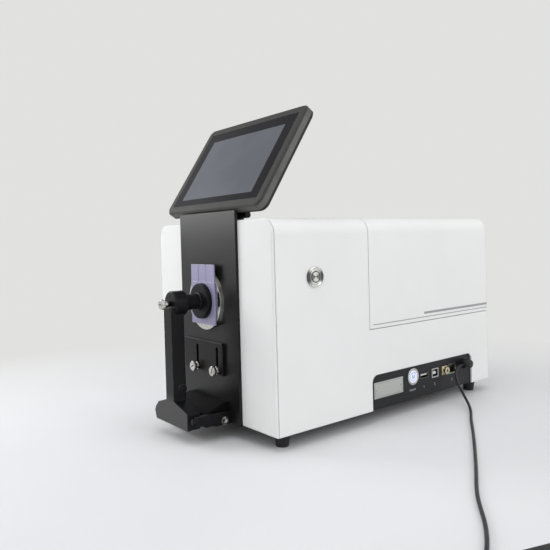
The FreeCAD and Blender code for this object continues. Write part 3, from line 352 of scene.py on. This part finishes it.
STEEL = (0.6, 0.6, 0.59)
BRIGHT_STEEL = (0.86, 0.86, 0.83)
CHROME = (0.62, 0.61, 0.59)
looks = {
    "white_paint": painted(
        "white_paint", (0.80, 0.805, 0.80), 0.62, (0.72, 0.72, 0.72), 0.12, 0.0012, 0.012),
    "black_paint": painted("black_paint", (0.008, 0.008, 0.008), 0.32, (0.05, 0.05, 0.05), 0.27),
    "black_panel": painted("black_panel", (0.011, 0.011, 0.014), 0.36, (0.04, 0.04, 0.04), 0.3),
    # Black alloy: lighter edges, partly a rubbed finish and partly a painted edge highlight
    "black_alloy": painted("black_alloy", (0.006, 0.006, 0.007), 0.36, (0.07, 0.07, 0.07), 0.16, 0.0011),
    # Bezel: the pale edge colour is a painted highlight on its rounded edges
    "bezel_plastic": moulded(
        "bezel_plastic", (0.115, 0.114, 0.109), 0.55, (0.2, 0.2, 0.19), 0.24, 2600, edge=0.0009),
    "screen_glass": smeared_glass("screen_glass", (0.008, 0.008, 0.010), (0.012, 0.012, 0.015), 0.13),
    "reflect_white": moulded("reflect_white", (0.88, 0.88, 0.86), 0.8, (0.8, 0.8, 0.78), 0.3, 1800),
    "insert_black": moulded("insert_black", (0.02, 0.02, 0.02), 0.55, (0.08, 0.08, 0.08)),
    "plaque_lavender": painted("plaque_lavender", (0.30, 0.285, 0.44), 0.34, (0.45, 0.44, 0.6)),
    "chrome": polished("chrome", CHROME, 0.1),
    "steel": brushed("steel", STEEL, 0.3, (1, 30, 1)),
    "brass": polished("brass", (0.74, 0.67, 0.48), 0.2),
    "socket_black": moulded("socket_black", (0.012, 0.012, 0.014), 0.45, (0.05, 0.05, 0.05)),
    "button_lens": lit_lens(
        "button_lens", (0.36, 0.39, 0.50), (0.42, 0.45, 0.56), (0.40, 0.43, 0.54), 0.4),
    # Pad: the pale edge colour is a painted highlight on its rim
    "pad_rubber": moulded(
        "pad_rubber", (0.007, 0.007, 0.008), 0.5, (0.3, 0.3, 0.3), 0.14, 1600, edge=0.0007),
    "rubber": moulded("rubber", (0.014, 0.014, 0.015), 0.62, (0.05, 0.05, 0.05), 0.4, 1400, 0.00007),
    "cord_rubber": moulded("cord_rubber", (0.010, 0.010, 0.011), 0.42, (0.04, 0.04, 0.04), 0.4, 1800),
    "adapter_plastic": moulded(
        "adapter_plastic", (0.012, 0.012, 0.013), 0.5, (0.05, 0.05, 0.05), 0.4, 2400),
    "board_green": circuit_board(),
    "lens_glass": clear_glass(),
}

DISPLAY_TILT = math.radians(33.2)
# Depth behind the display's face where the painted shade of the back begins, and the width of its blend
SHADE_DEPTH = 7.6
SHADE_BLEND = 0.6
# Heights over the table where the painted light on the clamp foot's front begins and where it is full
FOOT_LIGHT_START = 46.0
FOOT_LIGHT_FULL = 36.0


def shade_display():
    """Painted shade: faces turned to the front and the back cover are darker than the side band, standing
    in for the shade on one grey plastic.
    """
    bezel = looks["bezel_plastic"]
    backward = Vector((0, math.cos(DISPLAY_TILT), -math.sin(DISPLAY_TILT)))
    front = min(backward.dot(vertex.co) for vertex in nodes["display_housing"].data.vertices)
    cover = front + SHADE_DEPTH * MM
    bezel.tinted(bezel.turned(-backward, 0.5, 0.68), (0.042, 0.0415, 0.04))
    bezel.tinted(bezel.along(backward, cover, cover + SHADE_BLEND * MM), (0.02, 0.02, 0.02))


def light_clamp_foot():
    """Painted light: front-facing faces of the black alloy low down, at the clamp's foot, are lighter,
    standing in for light falling on them.
    """
    alloy = looks["black_alloy"]
    ahead = alloy.turned((0, -1, 0), 0.7, 0.9)
    low = alloy.along((0, 0, -1), -FOOT_LIGHT_START * MM, -FOOT_LIGHT_FULL * MM)
    alloy.tinted(alloy.joined("MULTIPLY", ahead, low), (0.055, 0.055, 0.055))


shade_display()
light_clamp_foot()


def middle(node):
    """The middle of a node's box."""
    low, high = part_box(node)
    return (Vector(low) + Vector(high)) / 2


# Pieces with a look of their own, the turned ones with lathe lines about their own axes
own_looks = {
    # Painted shade: the clamp base is a darker, duller copy of the black alloy, standing in for the shade
    # it sits in
    "clamp_base": painted("clamp_base_shaded_black", (0.004, 0.004, 0.004), 0.6, (0.02, 0.02, 0.02), 0.08),
    "usb_a_socket": brushed("usb_a_metal", (0.2, 0.2, 0.2), 0.3, (1, 30, 1)),
    "network_socket": brushed("network_metal", (0.25, 0.25, 0.24), 0.3, (1, 30, 1)),
    # The test button's rim and face are darker at the left and right: painted shade for turned metal's
    # bow-tie reflection
    "test_button_body": lathed(
        "test_button_rim", BRIGHT_STEEL, 0.2, middle("test_button_body"), "X", dark=(0.11, 0.11, 0.105)),
    "test_button_cap": lathed(
        "test_button_face", BRIGHT_STEEL, 0.24, middle("test_button_cap"), "X", dark=(0.28, 0.28, 0.27)),
    "power_button_body": lathed("power_button_rim", STEEL, 0.24, middle("power_button_body"), "X"),
    "plunger_knob": lathed("plunger_knob_metal", CHROME, 0.12, middle("plunger_knob"), "Y"),
    "rest_screw_left": lathed("rest_screw_left_metal", CHROME, 0.14, middle("rest_screw_left"), "Y"),
    "rest_screw_right": lathed("rest_screw_right_metal", CHROME, 0.14, middle("rest_screw_right"), "Y"),
    "port_ring": lathed("port_ring_metal", CHROME, 0.08, middle("port_ring"), "Y", 0.000005),
}

for part in frame["record"]["subparts"]:
    mesh = nodes[part["node"]].data
    mesh.materials.clear()
    mesh.materials.append(own_looks.get(part["node"], looks[part["material_slot"]]).material)


# Ways to build a piece, in millimetres on a plane

def piece(name, shape, look, body):
    """Makes an object of a bmesh and lets it ride on a body."""
    bmesh.ops.recalc_face_normals(shape, faces=shape.faces[:])
    mesh = bpy.data.meshes.new(name)
    shape.to_mesh(mesh)
    shape.free()
    mesh.materials.append(look.material)
    made = bpy.data.objects.new(name, mesh)
    scene.collection.objects.link(made)
    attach(made, body)
    return made


def rounded_outline(width, height, radius, steps=5):
    """A rectangle about the middle with round corners."""
    points = []
    for quarter, (sx, sy) in enumerate(((1, 1), (-1, 1), (-1, -1), (1, -1))):
        for i in range(steps + 1):
            angle = math.pi / 2 * (quarter + i / steps)
            points.append((
                sx * (width / 2 - radius) + radius * math.cos(angle),
                sy * (height / 2 - radius) + radius * math.sin(angle)))
    return points


def circle_outline(radius, steps=40):
    turns = [2 * math.pi * i / steps for i in range(steps)]
    return [(radius * math.cos(a), radius * math.sin(a)) for a in turns]


def loop(shape, plane, outline, height):
    """An outline's points at a height over a plane."""
    return [shape.verts.new(plane @ (Vector((u, v, height)) * MM)) for u, v in outline]


def wall(shape, first, second):
    """Faces between two loops."""
    for i in range(len(first)):
        j = (i + 1) % len(first)
        shape.faces.new((first[i], first[j], second[j], second[i]))


def plate(name, plane, outline, low, high, look, body, soft=0.0):
    """A flat piece with the given outline, between two heights over its plane."""
    shape = bmesh.new()
    bottom = loop(shape, plane, outline, low)
    side = loop(shape, plane, outline, high - soft)
    wall(shape, bottom, side)
    shape.faces.new(bottom)
    if soft:
        shrink = 1 - soft / max(abs(u) for u, v in outline)
        top = loop(shape, plane, [(u * shrink, v * shrink) for u, v in outline], high)
        wall(shape, side, top)
        side = top
    shape.faces.new(side)
    return piece(name, shape, look, body)


def band(name, plane, outer, inner, low, high, look, body):
    """A flat ring between two outlines with the same number of points."""
    shape = bmesh.new()
    loops = [
        loop(shape, plane, outer, low), loop(shape, plane, outer, high),
        loop(shape, plane, inner, high), loop(shape, plane, inner, low)]
    for first, second in zip(loops, loops[1:] + loops[:1]):
        wall(shape, first, second)
    return piece(name, shape, look, body)


def lathe(name, plane, profile, look, body, steps=40):
    """A solid turned about the plane's third axis from (height, radius) points."""
    shape = bmesh.new()
    loops = [loop(shape, plane, circle_outline(radius, steps), height) for height, radius in profile]
    for first, second in zip(loops, loops[1:]):
        wall(shape, first, second)
    shape.faces.new(loops[0])
    shape.faces.new(loops[-1])
    for face in shape.faces:
        face.smooth = len(face.verts) == 4
    return piece(name, shape, look, body)


def lettering(name, plane, words, size, look, body):
    """Flat printed characters, centred on the plane's own zero."""
    text = bpy.data.curves.new(name, "FONT")
    text.body = words
    text.size = size * MM
    text.extrude = 0.03 * MM
    text.align_x = "CENTER"
    text.align_y = "CENTER"
    holder = bpy.data.objects.new(name + ".text", text)
    shape = bmesh.new()
    mesh = bpy.data.meshes.new_from_object(holder)
    mesh.transform(plane)
    shape.from_mesh(mesh)
    bpy.data.objects.remove(holder)
    bpy.data.meshes.remove(mesh)
    bpy.data.curves.remove(text)
    return piece(name, shape, look, body)


def shifted(plane, u, v):
    """A plane moved within itself."""
    return plane @ Matrix.Translation(Vector((u, v, 0)) * MM)


RIGHT_SIDE = ((0, 1, 0), (0, 0, 1))
REAR_SIDE = ((-1, 0, 0), (0, 0, 1))
TOP_SIDE = ((1, 0, 0), (0, 1, 0))
UNDER_SIDE = ((1, 0, 0), (0, -1, 0))
FRONT_SIDE = ((1, 0, 0), (0, 0, 1))

white_ink = painted("white_ink", (0.55, 0.55, 0.56), 0.5, (0.4, 0.4, 0.4))
grey_ink = painted("grey_ink", (0.33, 0.335, 0.345), 0.5, (0.42, 0.42, 0.42))
pale_plastic = moulded("pale_plastic", (0.62, 0.62, 0.6), 0.4, (0.7, 0.7, 0.68))
gold_contact = polished("gold_contact", (0.78, 0.6, 0.26), 0.2)
label_film = brushed("label_film", (0.60, 0.61, 0.58), 0.42, (1, 1, 24))
# Near-black for seams, and as painted shade in recesses, slots, vents and openings
seam_and_recess_shade = moulded("seam_and_recess_shade", (0.006, 0.006, 0.007), 0.6, (0.02, 0.02, 0.02), 0.2)
screw_steel = polished("screw_steel", (0.5, 0.5, 0.5), 0.2)


def screw_head(name, plane, radius, rise, body):
    """A domed screw head with a cross recess drawn as a near-black plate, painted shade."""
    lathe(
        name, plane,
        [(-0.2, radius), (rise * 0.4, radius), (rise * 0.8, radius * 0.82), (rise, radius * 0.5)],
        screw_steel, body, 24)
    arm = radius * 0.55
    slit = radius * 0.14
    cross = [
        (arm, -slit), (arm, slit), (slit, slit), (slit, arm), (-slit, arm), (-slit, slit),
        (-arm, slit), (-arm, -slit), (-slit, -slit), (-slit, -arm), (slit, -arm), (slit, -slit)]
    plate(name + "_recess", plane, cross, rise - 0.5, rise + 0.02, seam_and_recess_shade, body)


# Power lead

CORD_RADIUS = 1.5
FLOOR_LAY = 1.55
JACK = middle("dc_jack")
JACK.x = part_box("dc_jack")[1][0]
PLUG_REACH = 6.0
PLUG_HANDLE = 10.0
# Steps out from the jack's face along X and Y, with heights over the table
ROUTE = [
    (PLUG_REACH, -PLUG_HANDLE, JACK.z / MM), (PLUG_REACH, -18.0, JACK.z / MM), (6.6, -24.9, 36.0),
    (9.2, -29.0, 29.2), (13.2, -29.9, 21.0), (19.4, -31.7, 13.4), (27.2, -36.0, 7.6), (36.9, -44.4, 3.9),
    (48.0, -58.2, FLOOR_LAY), (61.3, -78.8, FLOOR_LAY), (81.8, -106.9, FLOOR_LAY),
    (108.4, -144.8, FLOOR_LAY), (139.6, -190.6, FLOOR_LAY), (166.2, -231.4, FLOOR_LAY),
    (182.5, -252.1, FLOOR_LAY), (199.0, -271.5, FLOOR_LAY), (215.8, -296.3, FLOOR_LAY),
    (228.2, -320.5, FLOOR_LAY), (232.2, -345.0, 2.1), (231.9, -363.0, 2.35),
]
COIL_CENTRE = (210.0, -366.0)
COIL_OUTER = 21.890625
COIL_PITCH = 3.45
COIL_LAYER_TURNS = 3.125
COIL_CLIMB_TURNS = 0.5
COIL_LOW = 2.35
COIL_STEPS = 16
TAIL = [(213.0, -344.1, 5.8), (222.0, -344.1, 5.8), (236.5, -333.8, 11.0), (245.0, -336.7, 11.0)]


def from_jack(x, y, z):
    """A step out from the jack's face, at a height over the table."""
    return Vector((JACK.x + x * MM, JACK.y + y * MM, z * MM))


def coil_point(turn):
    """Spiral in on the floor, climb in half a turn, spiral out on top."""
    inner = COIL_OUTER - COIL_PITCH * COIL_LAYER_TURNS
    past = turn - COIL_LAYER_TURNS
    radius = COIL_OUTER - COIL_PITCH * turn
    height = COIL_LOW
    if past > COIL_CLIMB_TURNS:
        radius = inner + COIL_PITCH * (past - COIL_CLIMB_TURNS)
        height += COIL_PITCH
    elif past > 0:
        share = past / COIL_CLIMB_TURNS
        radius = inner - COIL_PITCH * past * (1 - share)
        height += COIL_PITCH * share ** 2 * (3 - 2 * share)
    angle = -2 * math.pi * turn
    return (
        COIL_CENTRE[0] + radius * math.cos(angle), COIL_CENTRE[1] + radius * math.sin(angle), height)


def make_power_lead():
    turns = 2 * COIL_LAYER_TURNS + COIL_CLIMB_TURNS
    count = int(turns * COIL_STEPS)
    points = ROUTE + [coil_point(turns * i / count) for i in range(count + 1)] + TAIL
    curve = bpy.data.curves.new("power_lead", "CURVE")
    curve.dimensions = "3D"
    curve.bevel_depth = CORD_RADIUS * MM
    curve.bevel_resolution = 5
    curve.resolution_u = 10
    spline = curve.splines.new("NURBS")
    spline.points.add(len(points) - 1)
    for target, point in zip(spline.points, points):
        target.co = (*from_jack(*point), 1)
    spline.order_u = 3
    spline.use_endpoint_u = True
    curve.materials.append(looks["cord_rubber"].material)
    lead = bpy.data.objects.new("power_lead", curve)
    scene.collection.objects.link(lead)
    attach(lead, "housing")
    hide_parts("dc_cord", "dc_cord_coil", "dc_cord_tail")


PLUG_RIBS = 4
PLUG_RIB_START = 2.0
PLUG_RIB_PITCH = 2.2


def make_plug_ribs():
    for i in range(PLUG_RIBS):
        place = from_jack(PLUG_REACH, -PLUG_RIB_START - PLUG_RIB_PITCH * i, JACK.z / MM)
        lathe(
            f"plug_rib_{i}", facing(place, *REAR_SIDE),
            [(-0.6, 4.0), (-0.35, 4.5), (0.35, 4.5), (0.6, 4.0)],
            looks["cord_rubber"], "housing", 32)


ADAPTER_SIZE = (110.0, 56.0, 31.0)
ADAPTER_ENTRY = (256.4, -340.5)
ADAPTER_TURN = -18.7
ADAPTER_LABEL = (68.0, 32.0)
ADAPTER_LAMP = 11.0
BORDER_INSET = 3.0
BORDER_LINE = 1.0


def adapter_plane(along, height):
    """A level plane on the adapter's middle line, at a distance from the lead's entry."""
    entry = facing(from_jack(*ADAPTER_ENTRY, height), *TOP_SIDE)
    return shifted(entry @ Matrix.Rotation(math.radians(ADAPTER_TURN), 4, "Z"), along, 0)


def make_adapter_details():
    length, width, height = ADAPTER_SIZE
    band(
        "adapter_seam", adapter_plane(length / 2, height / 2),
        rounded_outline(length + 0.2, width + 0.2, 4.1), rounded_outline(length - 1, width - 1, 3.6),
        -0.4, 0.4, seam_and_recess_shade, "housing")
    top = adapter_plane(length / 2, height)
    plate(
        "adapter_label", top, rounded_outline(*ADAPTER_LABEL, 2), -0.1, 0.15, label_film, "housing")
    outer = [side - BORDER_INSET for side in ADAPTER_LABEL]
    inner = [side - BORDER_LINE for side in outer]
    band(
        "adapter_label_border", top, rounded_outline(*outer, 1.5), rounded_outline(*inner, 1.2),
        0.1, 0.2, grey_ink, "housing")
    lathe(
        "adapter_lamp", adapter_plane(ADAPTER_LAMP, height),
        [(-0.3, 1.6), (0.3, 1.5), (0.7, 1.0), (0.85, 0.4)],
        lit_lens("adapter_lamp", (0.1, 0.5, 0.15), (0.2, 0.6, 0.2), (0.1, 0.8, 0.2), 0.5), "housing",
        24)


# Details on the housing

MARK_HEIGHT = 24.0
WORD_SIZE = 3.0
DIGIT_SIZE = 4.2
# Node over each mark, its characters and their size
MARKS = (
    ("power_button_cap", "ON/OFF", WORD_SIZE),
    ("usb_a_socket", "1", DIGIT_SIZE),
    ("usb_b_socket", "2", DIGIT_SIZE),
    ("network_socket", "3", DIGIT_SIZE),
)


def make_panel_marks():
    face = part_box("io_panel")[1][0]
    for node, words, size in MARKS:
        plane = facing(Vector((face, middle(node).y, MARK_HEIGHT * MM)), *RIGHT_SIDE)
        lettering(f"mark_{node}", plane, words, size, white_ink, "housing")


def make_label_details():
    low, high = (Vector(v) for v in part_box("label_plate"))
    width, height = (high.y - low.y) / MM, (high.z - low.z) / MM
    plane = facing(Vector((high.x, (low.y + high.y) / 2, (low.z + high.z) / 2)), *RIGHT_SIDE)
    nodes["label_plate"].data.materials[0] = label_film.material
    band(
        "label_border", plane, rounded_outline(width - 2.4, height - 2.4, 1.0),
        rounded_outline(width - 3.2, height - 3.2, 0.8), -0.05, 0.06, grey_ink, "housing")
    for side in (-1, 1):
        lathe(
            f"label_rivet_{side + 1}", shifted(plane, side * (width / 2 - 3.6), 0),
            [(-0.1, 1.0), (0.15, 0.95), (0.4, 0.6), (0.45, 0.2)], screw_steel, "housing", 20)


def socket_plane(node):
    """A plane on a socket's mouth, its zero in the middle."""
    place = middle(node)
    place.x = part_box(node)[1][0]
    return facing(place, *RIGHT_SIDE)


def make_data_sockets():
    plane = socket_plane("usb_a_socket")
    plate(
        "usb_a_tongue", shifted(plane, 0, 0.9), rounded_outline(11.0, 1.7, 0.3), -9.9, -1.0,
        pale_plastic, "housing", 0.2)
    for i in range(4):
        contact = shifted(plane, -3.5 + 7 / 3 * i, -0.02)
        plate(
            f"usb_a_contact_{i}", contact, rounded_outline(1.0, 0.12, 0.05), -8.5, -1.8, gold_contact,
            "housing")
    plane = socket_plane("usb_b_socket")
    band(
        "usb_b_frame", plane, rounded_outline(12.2, 10.4, 0.8), rounded_outline(9.8, 8.0, 0.5),
        -0.2, 0.35, looks["steel"], "housing")
    plate(
        "usb_b_tongue", plane, rounded_outline(5.6, 3.2, 0.4), -9.9, -0.8, pale_plastic, "housing",
        0.2)


def make_network_socket():
    plane = socket_plane("network_socket")
    for i in range(8):
        contact = shifted(plane, -3.57 + 1.02 * i, 2.6)
        plate(
            f"network_contact_{i}", contact, rounded_outline(0.5, 0.5, 0.15), -9.8, -2.2, gold_contact,
            "housing")
    for side, color in ((-1, (0.1, 0.7, 0.15)), (1, (0.8, 0.5, 0.08))):
        window = shifted(plane, side * 5.2, -5.0)
        plate(
            f"network_lamp_{side + 1}", window, rounded_outline(2.4, 1.2, 0.2), -0.3, 0.12,
            lit_lens(f"network_lamp_{side + 1}", shade(color, 0.5), color, color, 0.15),
            "housing")


def make_coax_pin():
    lathe(
        "coax_pin", socket_plane("coax_socket"), [(-7.9, 0.5), (-1.2, 0.5), (-0.6, 0.2)],
        gold_contact, "housing", 16)


def arc_outline(radius, width, start, end, steps=28):
    """An open ring between two angles in degrees."""
    angles = [math.radians(start + (end - start) * i / steps) for i in range(steps + 1)]
    outer = [((radius + width / 2) * math.cos(a), (radius + width / 2) * math.sin(a)) for a in angles]
    inner = [((radius - width / 2) * math.cos(a), (radius - width / 2) * math.sin(a)) for a in angles]
    return outer + inner[::-1]


def make_power_symbol():
    plane = socket_plane("power_button_cap")
    glow = lit_lens("power_symbol", (0.62, 0.66, 0.8), (0.7, 0.74, 0.85), (0.75, 0.8, 1.0), 0.45)
    plate(
        "power_symbol_ring", plane, arc_outline(3.6, 1.1, 125, 415), -0.1, 0.08, glow,
        "power_button")
    plate(
        "power_symbol_bar", shifted(plane, 0, 3.0), rounded_outline(1.1, 4.2, 0.5), -0.1, 0.08, glow,
        "power_button")
    band(
        "power_button_halo", plane, circle_outline(6.7), circle_outline(5.6), -0.1, 0.1, glow,
        "power_button")


def make_test_button_details():
    plane = socket_plane("test_button_cap")
    # The groove and the two dots are near-black marks, painted shade in recesses
    band(
        "test_button_groove", plane, circle_outline(5.6), circle_outline(4.7), -0.1, 0.06, seam_and_recess_shade,
        "test_button")
    for side in (-1, 1):
        lathe(
            f"test_button_dot_{side + 1}", shifted(plane, side * 2.0, 0),
            [(-0.1, 0.75), (0.06, 0.75), (0.08, 0.5)], seam_and_recess_shade, "test_button", 20)


STRIPE_END = 0.6
# Name, start behind the lid's front edge, bottom and top over its lower edge
STRIPES = (("lid_stripe_thick", 89.0, 7.4, 10.0), ("lid_stripe_thin", 4.6, 3.7, 4.6))


def make_lid_stripes():
    low, high = (Vector(v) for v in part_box("lid"))
    for name, start, bottom, top in STRIPES:
        length = (high.y - low.y) / MM - start - STRIPE_END
        place = Vector((
            high.x, high.y - (length / 2 + STRIPE_END) * MM, low.z + (bottom + top) / 2 * MM))
        plate(
            name, facing(place, *RIGHT_SIDE), rounded_outline(length, top - bottom, 0.2), -0.05, 0.06,
            grey_ink, "lid")


LOUVRE_LENGTH = 46.0
LOUVRE_HEIGHT = 3.6
LOUVRE_RISE = 1.6
LOUVRE_PITCH = 7.5
LOUVRE_ROWS = 6
LOUVRE_LOWEST = 34.0
LOUVRE_COLUMNS = (-48.0, 48.0)
# Screws of the rear wall across and up, and of the base plate across and back
REAR_SCREWS = ((-96, 24), (96, 24), (-96, 88), (96, 88))
BASE_SCREWS = ((-92, 60), (92, 60), (-92, 170), (92, 170), (-92, 290), (92, 290))


def make_louvre(name, plane):
    """A pressed ventilation hood, open below, its opening drawn as a near-black face, painted shade."""
    across, along = 6, 16
    shape = bmesh.new()

    def spot(reach, height, rise):
        return shape.verts.new(plane @ (Vector((reach * LOUVRE_LENGTH / 2, height, rise)) * MM))

    reaches = [2 * i / along - 1 for i in range(along + 1)]
    shares = [j / across for j in range(across + 1)]
    grid = []
    for reach in reaches:
        crown = LOUVRE_RISE * (1 - reach ** 8)
        grid.append([
            spot(reach, LOUVRE_HEIGHT * (0.5 - share), crown * math.sin(share * math.pi / 2) - 0.05)
            for share in shares])
    for first, second in zip(grid, grid[1:]):
        for j in range(across):
            face = shape.faces.new((first[j], first[j + 1], second[j + 1], second[j]))
            face.smooth = True
    foot = [spot(reach, -LOUVRE_HEIGHT / 2, -0.2) for reach in reaches]
    for i in range(along):
        face = shape.faces.new((grid[i][-1], foot[i], foot[i + 1], grid[i + 1][-1]))
        face.material_index = 1
    made = piece(name, shape, looks["white_paint"], "housing")
    made.data.materials.append(seam_and_recess_shade.material)


def make_rear_details():
    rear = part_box("main_shell")[1][1]
    for column, x in enumerate(LOUVRE_COLUMNS):
        for row in range(LOUVRE_ROWS):
            place = at(x, 0, LOUVRE_LOWEST + LOUVRE_PITCH * row)
            place.y = rear
            make_louvre(f"louvre_{column}_{row}", facing(place, *REAR_SIDE))
    for i, (x, z) in enumerate(REAR_SCREWS):
        place = at(x, 0, z)
        place.y = rear
        screw_head(f"rear_screw_{i}", facing(place, *REAR_SIDE), 3.0, 1.6, "housing")


def make_base_screws():
    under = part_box("base_plate")[0][2]
    for i, (x, y) in enumerate(BASE_SCREWS):
        place = at(x, y, 0)
        place.z = under
        screw_head(f"base_screw_{i}", facing(place, *UNDER_SIDE), 3.4, 1.2, "housing")


# Knurled metal heads

def knurled_outline(radius, depth, teeth):
    """A ring of teeth."""
    points = []
    for i in range(2 * teeth):
        angle = math.pi * i / teeth
        reach = radius + depth * (i % 2)
        points.append((reach * math.cos(angle), reach * math.sin(angle)))
    return points


# Node and body of each head, its radius and length, and its slot's angle
KNURLS = (
    ("rest_screw_left", "rest_screw_left", 4.95, 3.2, 25),
    ("rest_screw_right", "rest_screw_right", 4.95, 3.2, 70),
    ("plunger_knob", "plunger", 4.75, 4.0, 0),
)


def make_knurls():
    for node, body, radius, length, slot_turn in KNURLS:
        place = middle(node)
        place.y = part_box(node)[0][1]
        head = facing(place, *FRONT_SIDE)
        plate(
            f"{node}_knurl", head, knurled_outline(radius, 0.3, 32), -length + 0.7, -0.8,
            own_looks[node], body)
        # The head's slot is a near-black plate, painted shade
        slit = head @ Matrix.Rotation(math.radians(slot_turn), 4, "Z")
        plate(
            f"{node}_slot", slit, rounded_outline(radius * 1.3, 0.9, 0.3), -0.3, 0.03, seam_and_recess_shade, body)


# Details on the display

DISPLAY_PLACE = (0.0, -1.0, 226.5)
ACTIVE_SIZE = (130.0, 82.2)
ACTIVE_MIDDLE = (0.0, 57.8)
BACK_DEPTH = 19.0
BACK_SIZE = (124.0, 74.0)
BACK_MIDDLE = 57.0
BACK_SCREW_INSET = 7.0
VENTS = 7
VENT_START = 9.0
VENT_PITCH = 3.4


def display_plane(depth, right, up):
    """A plane at a depth behind the display's face, in the display's own tilted frame."""
    leaning = Matrix.Translation(at(*DISPLAY_PLACE)) @ Matrix.Rotation(-DISPLAY_TILT, 4, "X")
    return leaning @ facing(Vector((0, depth * MM, 0)), right, up)


def make_display_details():
    face = display_plane(0, *FRONT_SIDE)
    active = smeared_glass("screen_active", (0.085, 0.092, 0.115), (0.105, 0.112, 0.135), 0.5)
    plate(
        "screen_active", shifted(face, *ACTIVE_MIDDLE), rounded_outline(*ACTIVE_SIZE, 0.6), -0.05, 0.05,
        active, "display")
    back = display_plane(BACK_DEPTH, *REAR_SIDE)
    for i, (sx, sy) in enumerate(((-1, -1), (1, -1), (1, 1), (-1, 1))):
        u = sx * (BACK_SIZE[0] / 2 - BACK_SCREW_INSET)
        v = BACK_MIDDLE + sy * (BACK_SIZE[1] / 2 - BACK_SCREW_INSET)
        screw_head(f"display_screw_{i}", shifted(back, u, v), 2.4, 1.0, "display")
    # The vents are near-black slots, painted shade
    for i in range(VENTS):
        plate(
            f"display_vent_{i}", shifted(back, 0, BACK_MIDDLE + VENT_START + VENT_PITCH * i),
            rounded_outline(44, 1.5, 0.7), -0.1, 0.06, seam_and_recess_shade, "display")


# Floor, world and lamps

PAPER = (0.755, 0.755, 0.745, 1)
CEILING = (0.4, 0.4, 0.41, 1)
FLOOR_REACH = 12.0
FADE_MIDDLE = Vector((0.2, -0.2, 0))
FADE_START = 0.4
FADE_END = 0.8


def make_floor():
    """A pale floor that goes over into the backdrop's colour around the object."""
    mesh = bpy.data.meshes.new("floor")
    corners = [(sx * FLOOR_REACH, sy * FLOOR_REACH, 0) for sx, sy in ((-1, -1), (1, -1), (1, 1), (-1, 1))]
    mesh.from_pydata(corners, [], [(0, 1, 2, 3)])
    floor = bpy.data.objects.new("floor", mesh)
    scene.collection.objects.link(floor)
    look = Look("floor_paper", (0.75, 0.755, 0.775), 0.7, 0.0, 0.2)
    look.mottle(look.noise(5, 4), (0.74, 0.745, 0.765), (0.76, 0.765, 0.783))
    look.bump(look.noise(900, 3), 0.00004)
    far = look.node("ShaderNodeEmission")
    far.inputs["Color"].default_value = PAPER
    length = look.node("ShaderNodeVectorMath", operation="LENGTH")
    look.link(look.mapped(location=-FADE_MIDDLE), length.inputs[0])
    fade = look.between(length.outputs["Value"], 0, 1, FADE_START, FADE_END)
    path = look.node("ShaderNodeLightPath").outputs
    seen = look.joined("MAXIMUM", path["Is Camera Ray"], path["Is Glossy Ray"])
    seen = look.joined("MAXIMUM", seen, path["Is Transmission Ray"])
    blend = look.node("ShaderNodeMixShader")
    look.link(look.joined("MULTIPLY", fade, seen), blend.inputs["Fac"])
    look.link(look.shader.outputs["BSDF"], blend.inputs[1])
    look.link(far.outputs["Emission"], blend.inputs[2])
    look.link(blend.outputs["Shader"], look.tree.nodes["Material Output"].inputs["Surface"])
    mesh.materials.append(look.material)


def make_world():
    """A pale studio with a dimmer ceiling."""
    world = bpy.data.worlds.new("studio")
    scene.world = world
    world.use_nodes = True
    tree = world.node_tree
    split = tree.nodes.new("ShaderNodeSeparateXYZ")
    tree.links.new(tree.nodes.new("ShaderNodeTexCoord").outputs["Generated"], split.inputs["Vector"])
    rise = tree.nodes.new("ShaderNodeMapRange")
    rise.inputs["From Min"].default_value = 0.40
    rise.inputs["From Max"].default_value = 0.62
    tree.links.new(split.outputs["Z"], rise.inputs["Value"])
    sky = tree.nodes.new("ShaderNodeMix")
    sky.data_type = "RGBA"
    sky.inputs["A"].default_value = PAPER
    sky.inputs["B"].default_value = CEILING
    tree.links.new(rise.outputs["Result"], sky.inputs["Factor"])
    tree.links.new(sky.outputs["Result"], tree.nodes["Background"].inputs["Color"])


# Name of each lamp, its place, what it points at, its side and its watts
LAMPS = (
    ("key", (-0.75, -0.60, 0.50), (0.0, -0.14, 0.2), 0.5, 4.6),
    ("front", (0.55, -1.3, 0.75), (0.0, -0.1, 0.1), 1.0, 1.6),
    ("top", (0.3, -0.3, 1.5), (0.1, -0.1, 0.0), 1.4, 7.9),
    ("fill", (1.3, 0.3, 0.8), (0.1, 0.1, 0.1), 1.0, 6.2),
)


def make_lamp(name, place, target, side, watts):
    data = bpy.data.lights.new(name, "AREA")
    data.shape = "SQUARE"
    data.size = side
    data.energy = watts
    made = bpy.data.objects.new(name, data)
    made.location = place
    made.rotation_mode = "QUATERNION"
    made.rotation_quaternion = (Vector(target) - Vector(place)).to_track_quat("-Z", "Y")
    scene.collection.objects.link(made)


make_camera()
make_power_lead()
make_plug_ribs()
make_adapter_details()
make_panel_marks()
make_label_details()
make_data_sockets()
make_network_socket()
make_coax_pin()
make_power_symbol()
make_test_button_details()
make_lid_stripes()
make_rear_details()
make_base_screws()
make_knurls()
make_display_details()
make_floor()
make_world()
for lamp in LAMPS:
    make_lamp(*lamp)
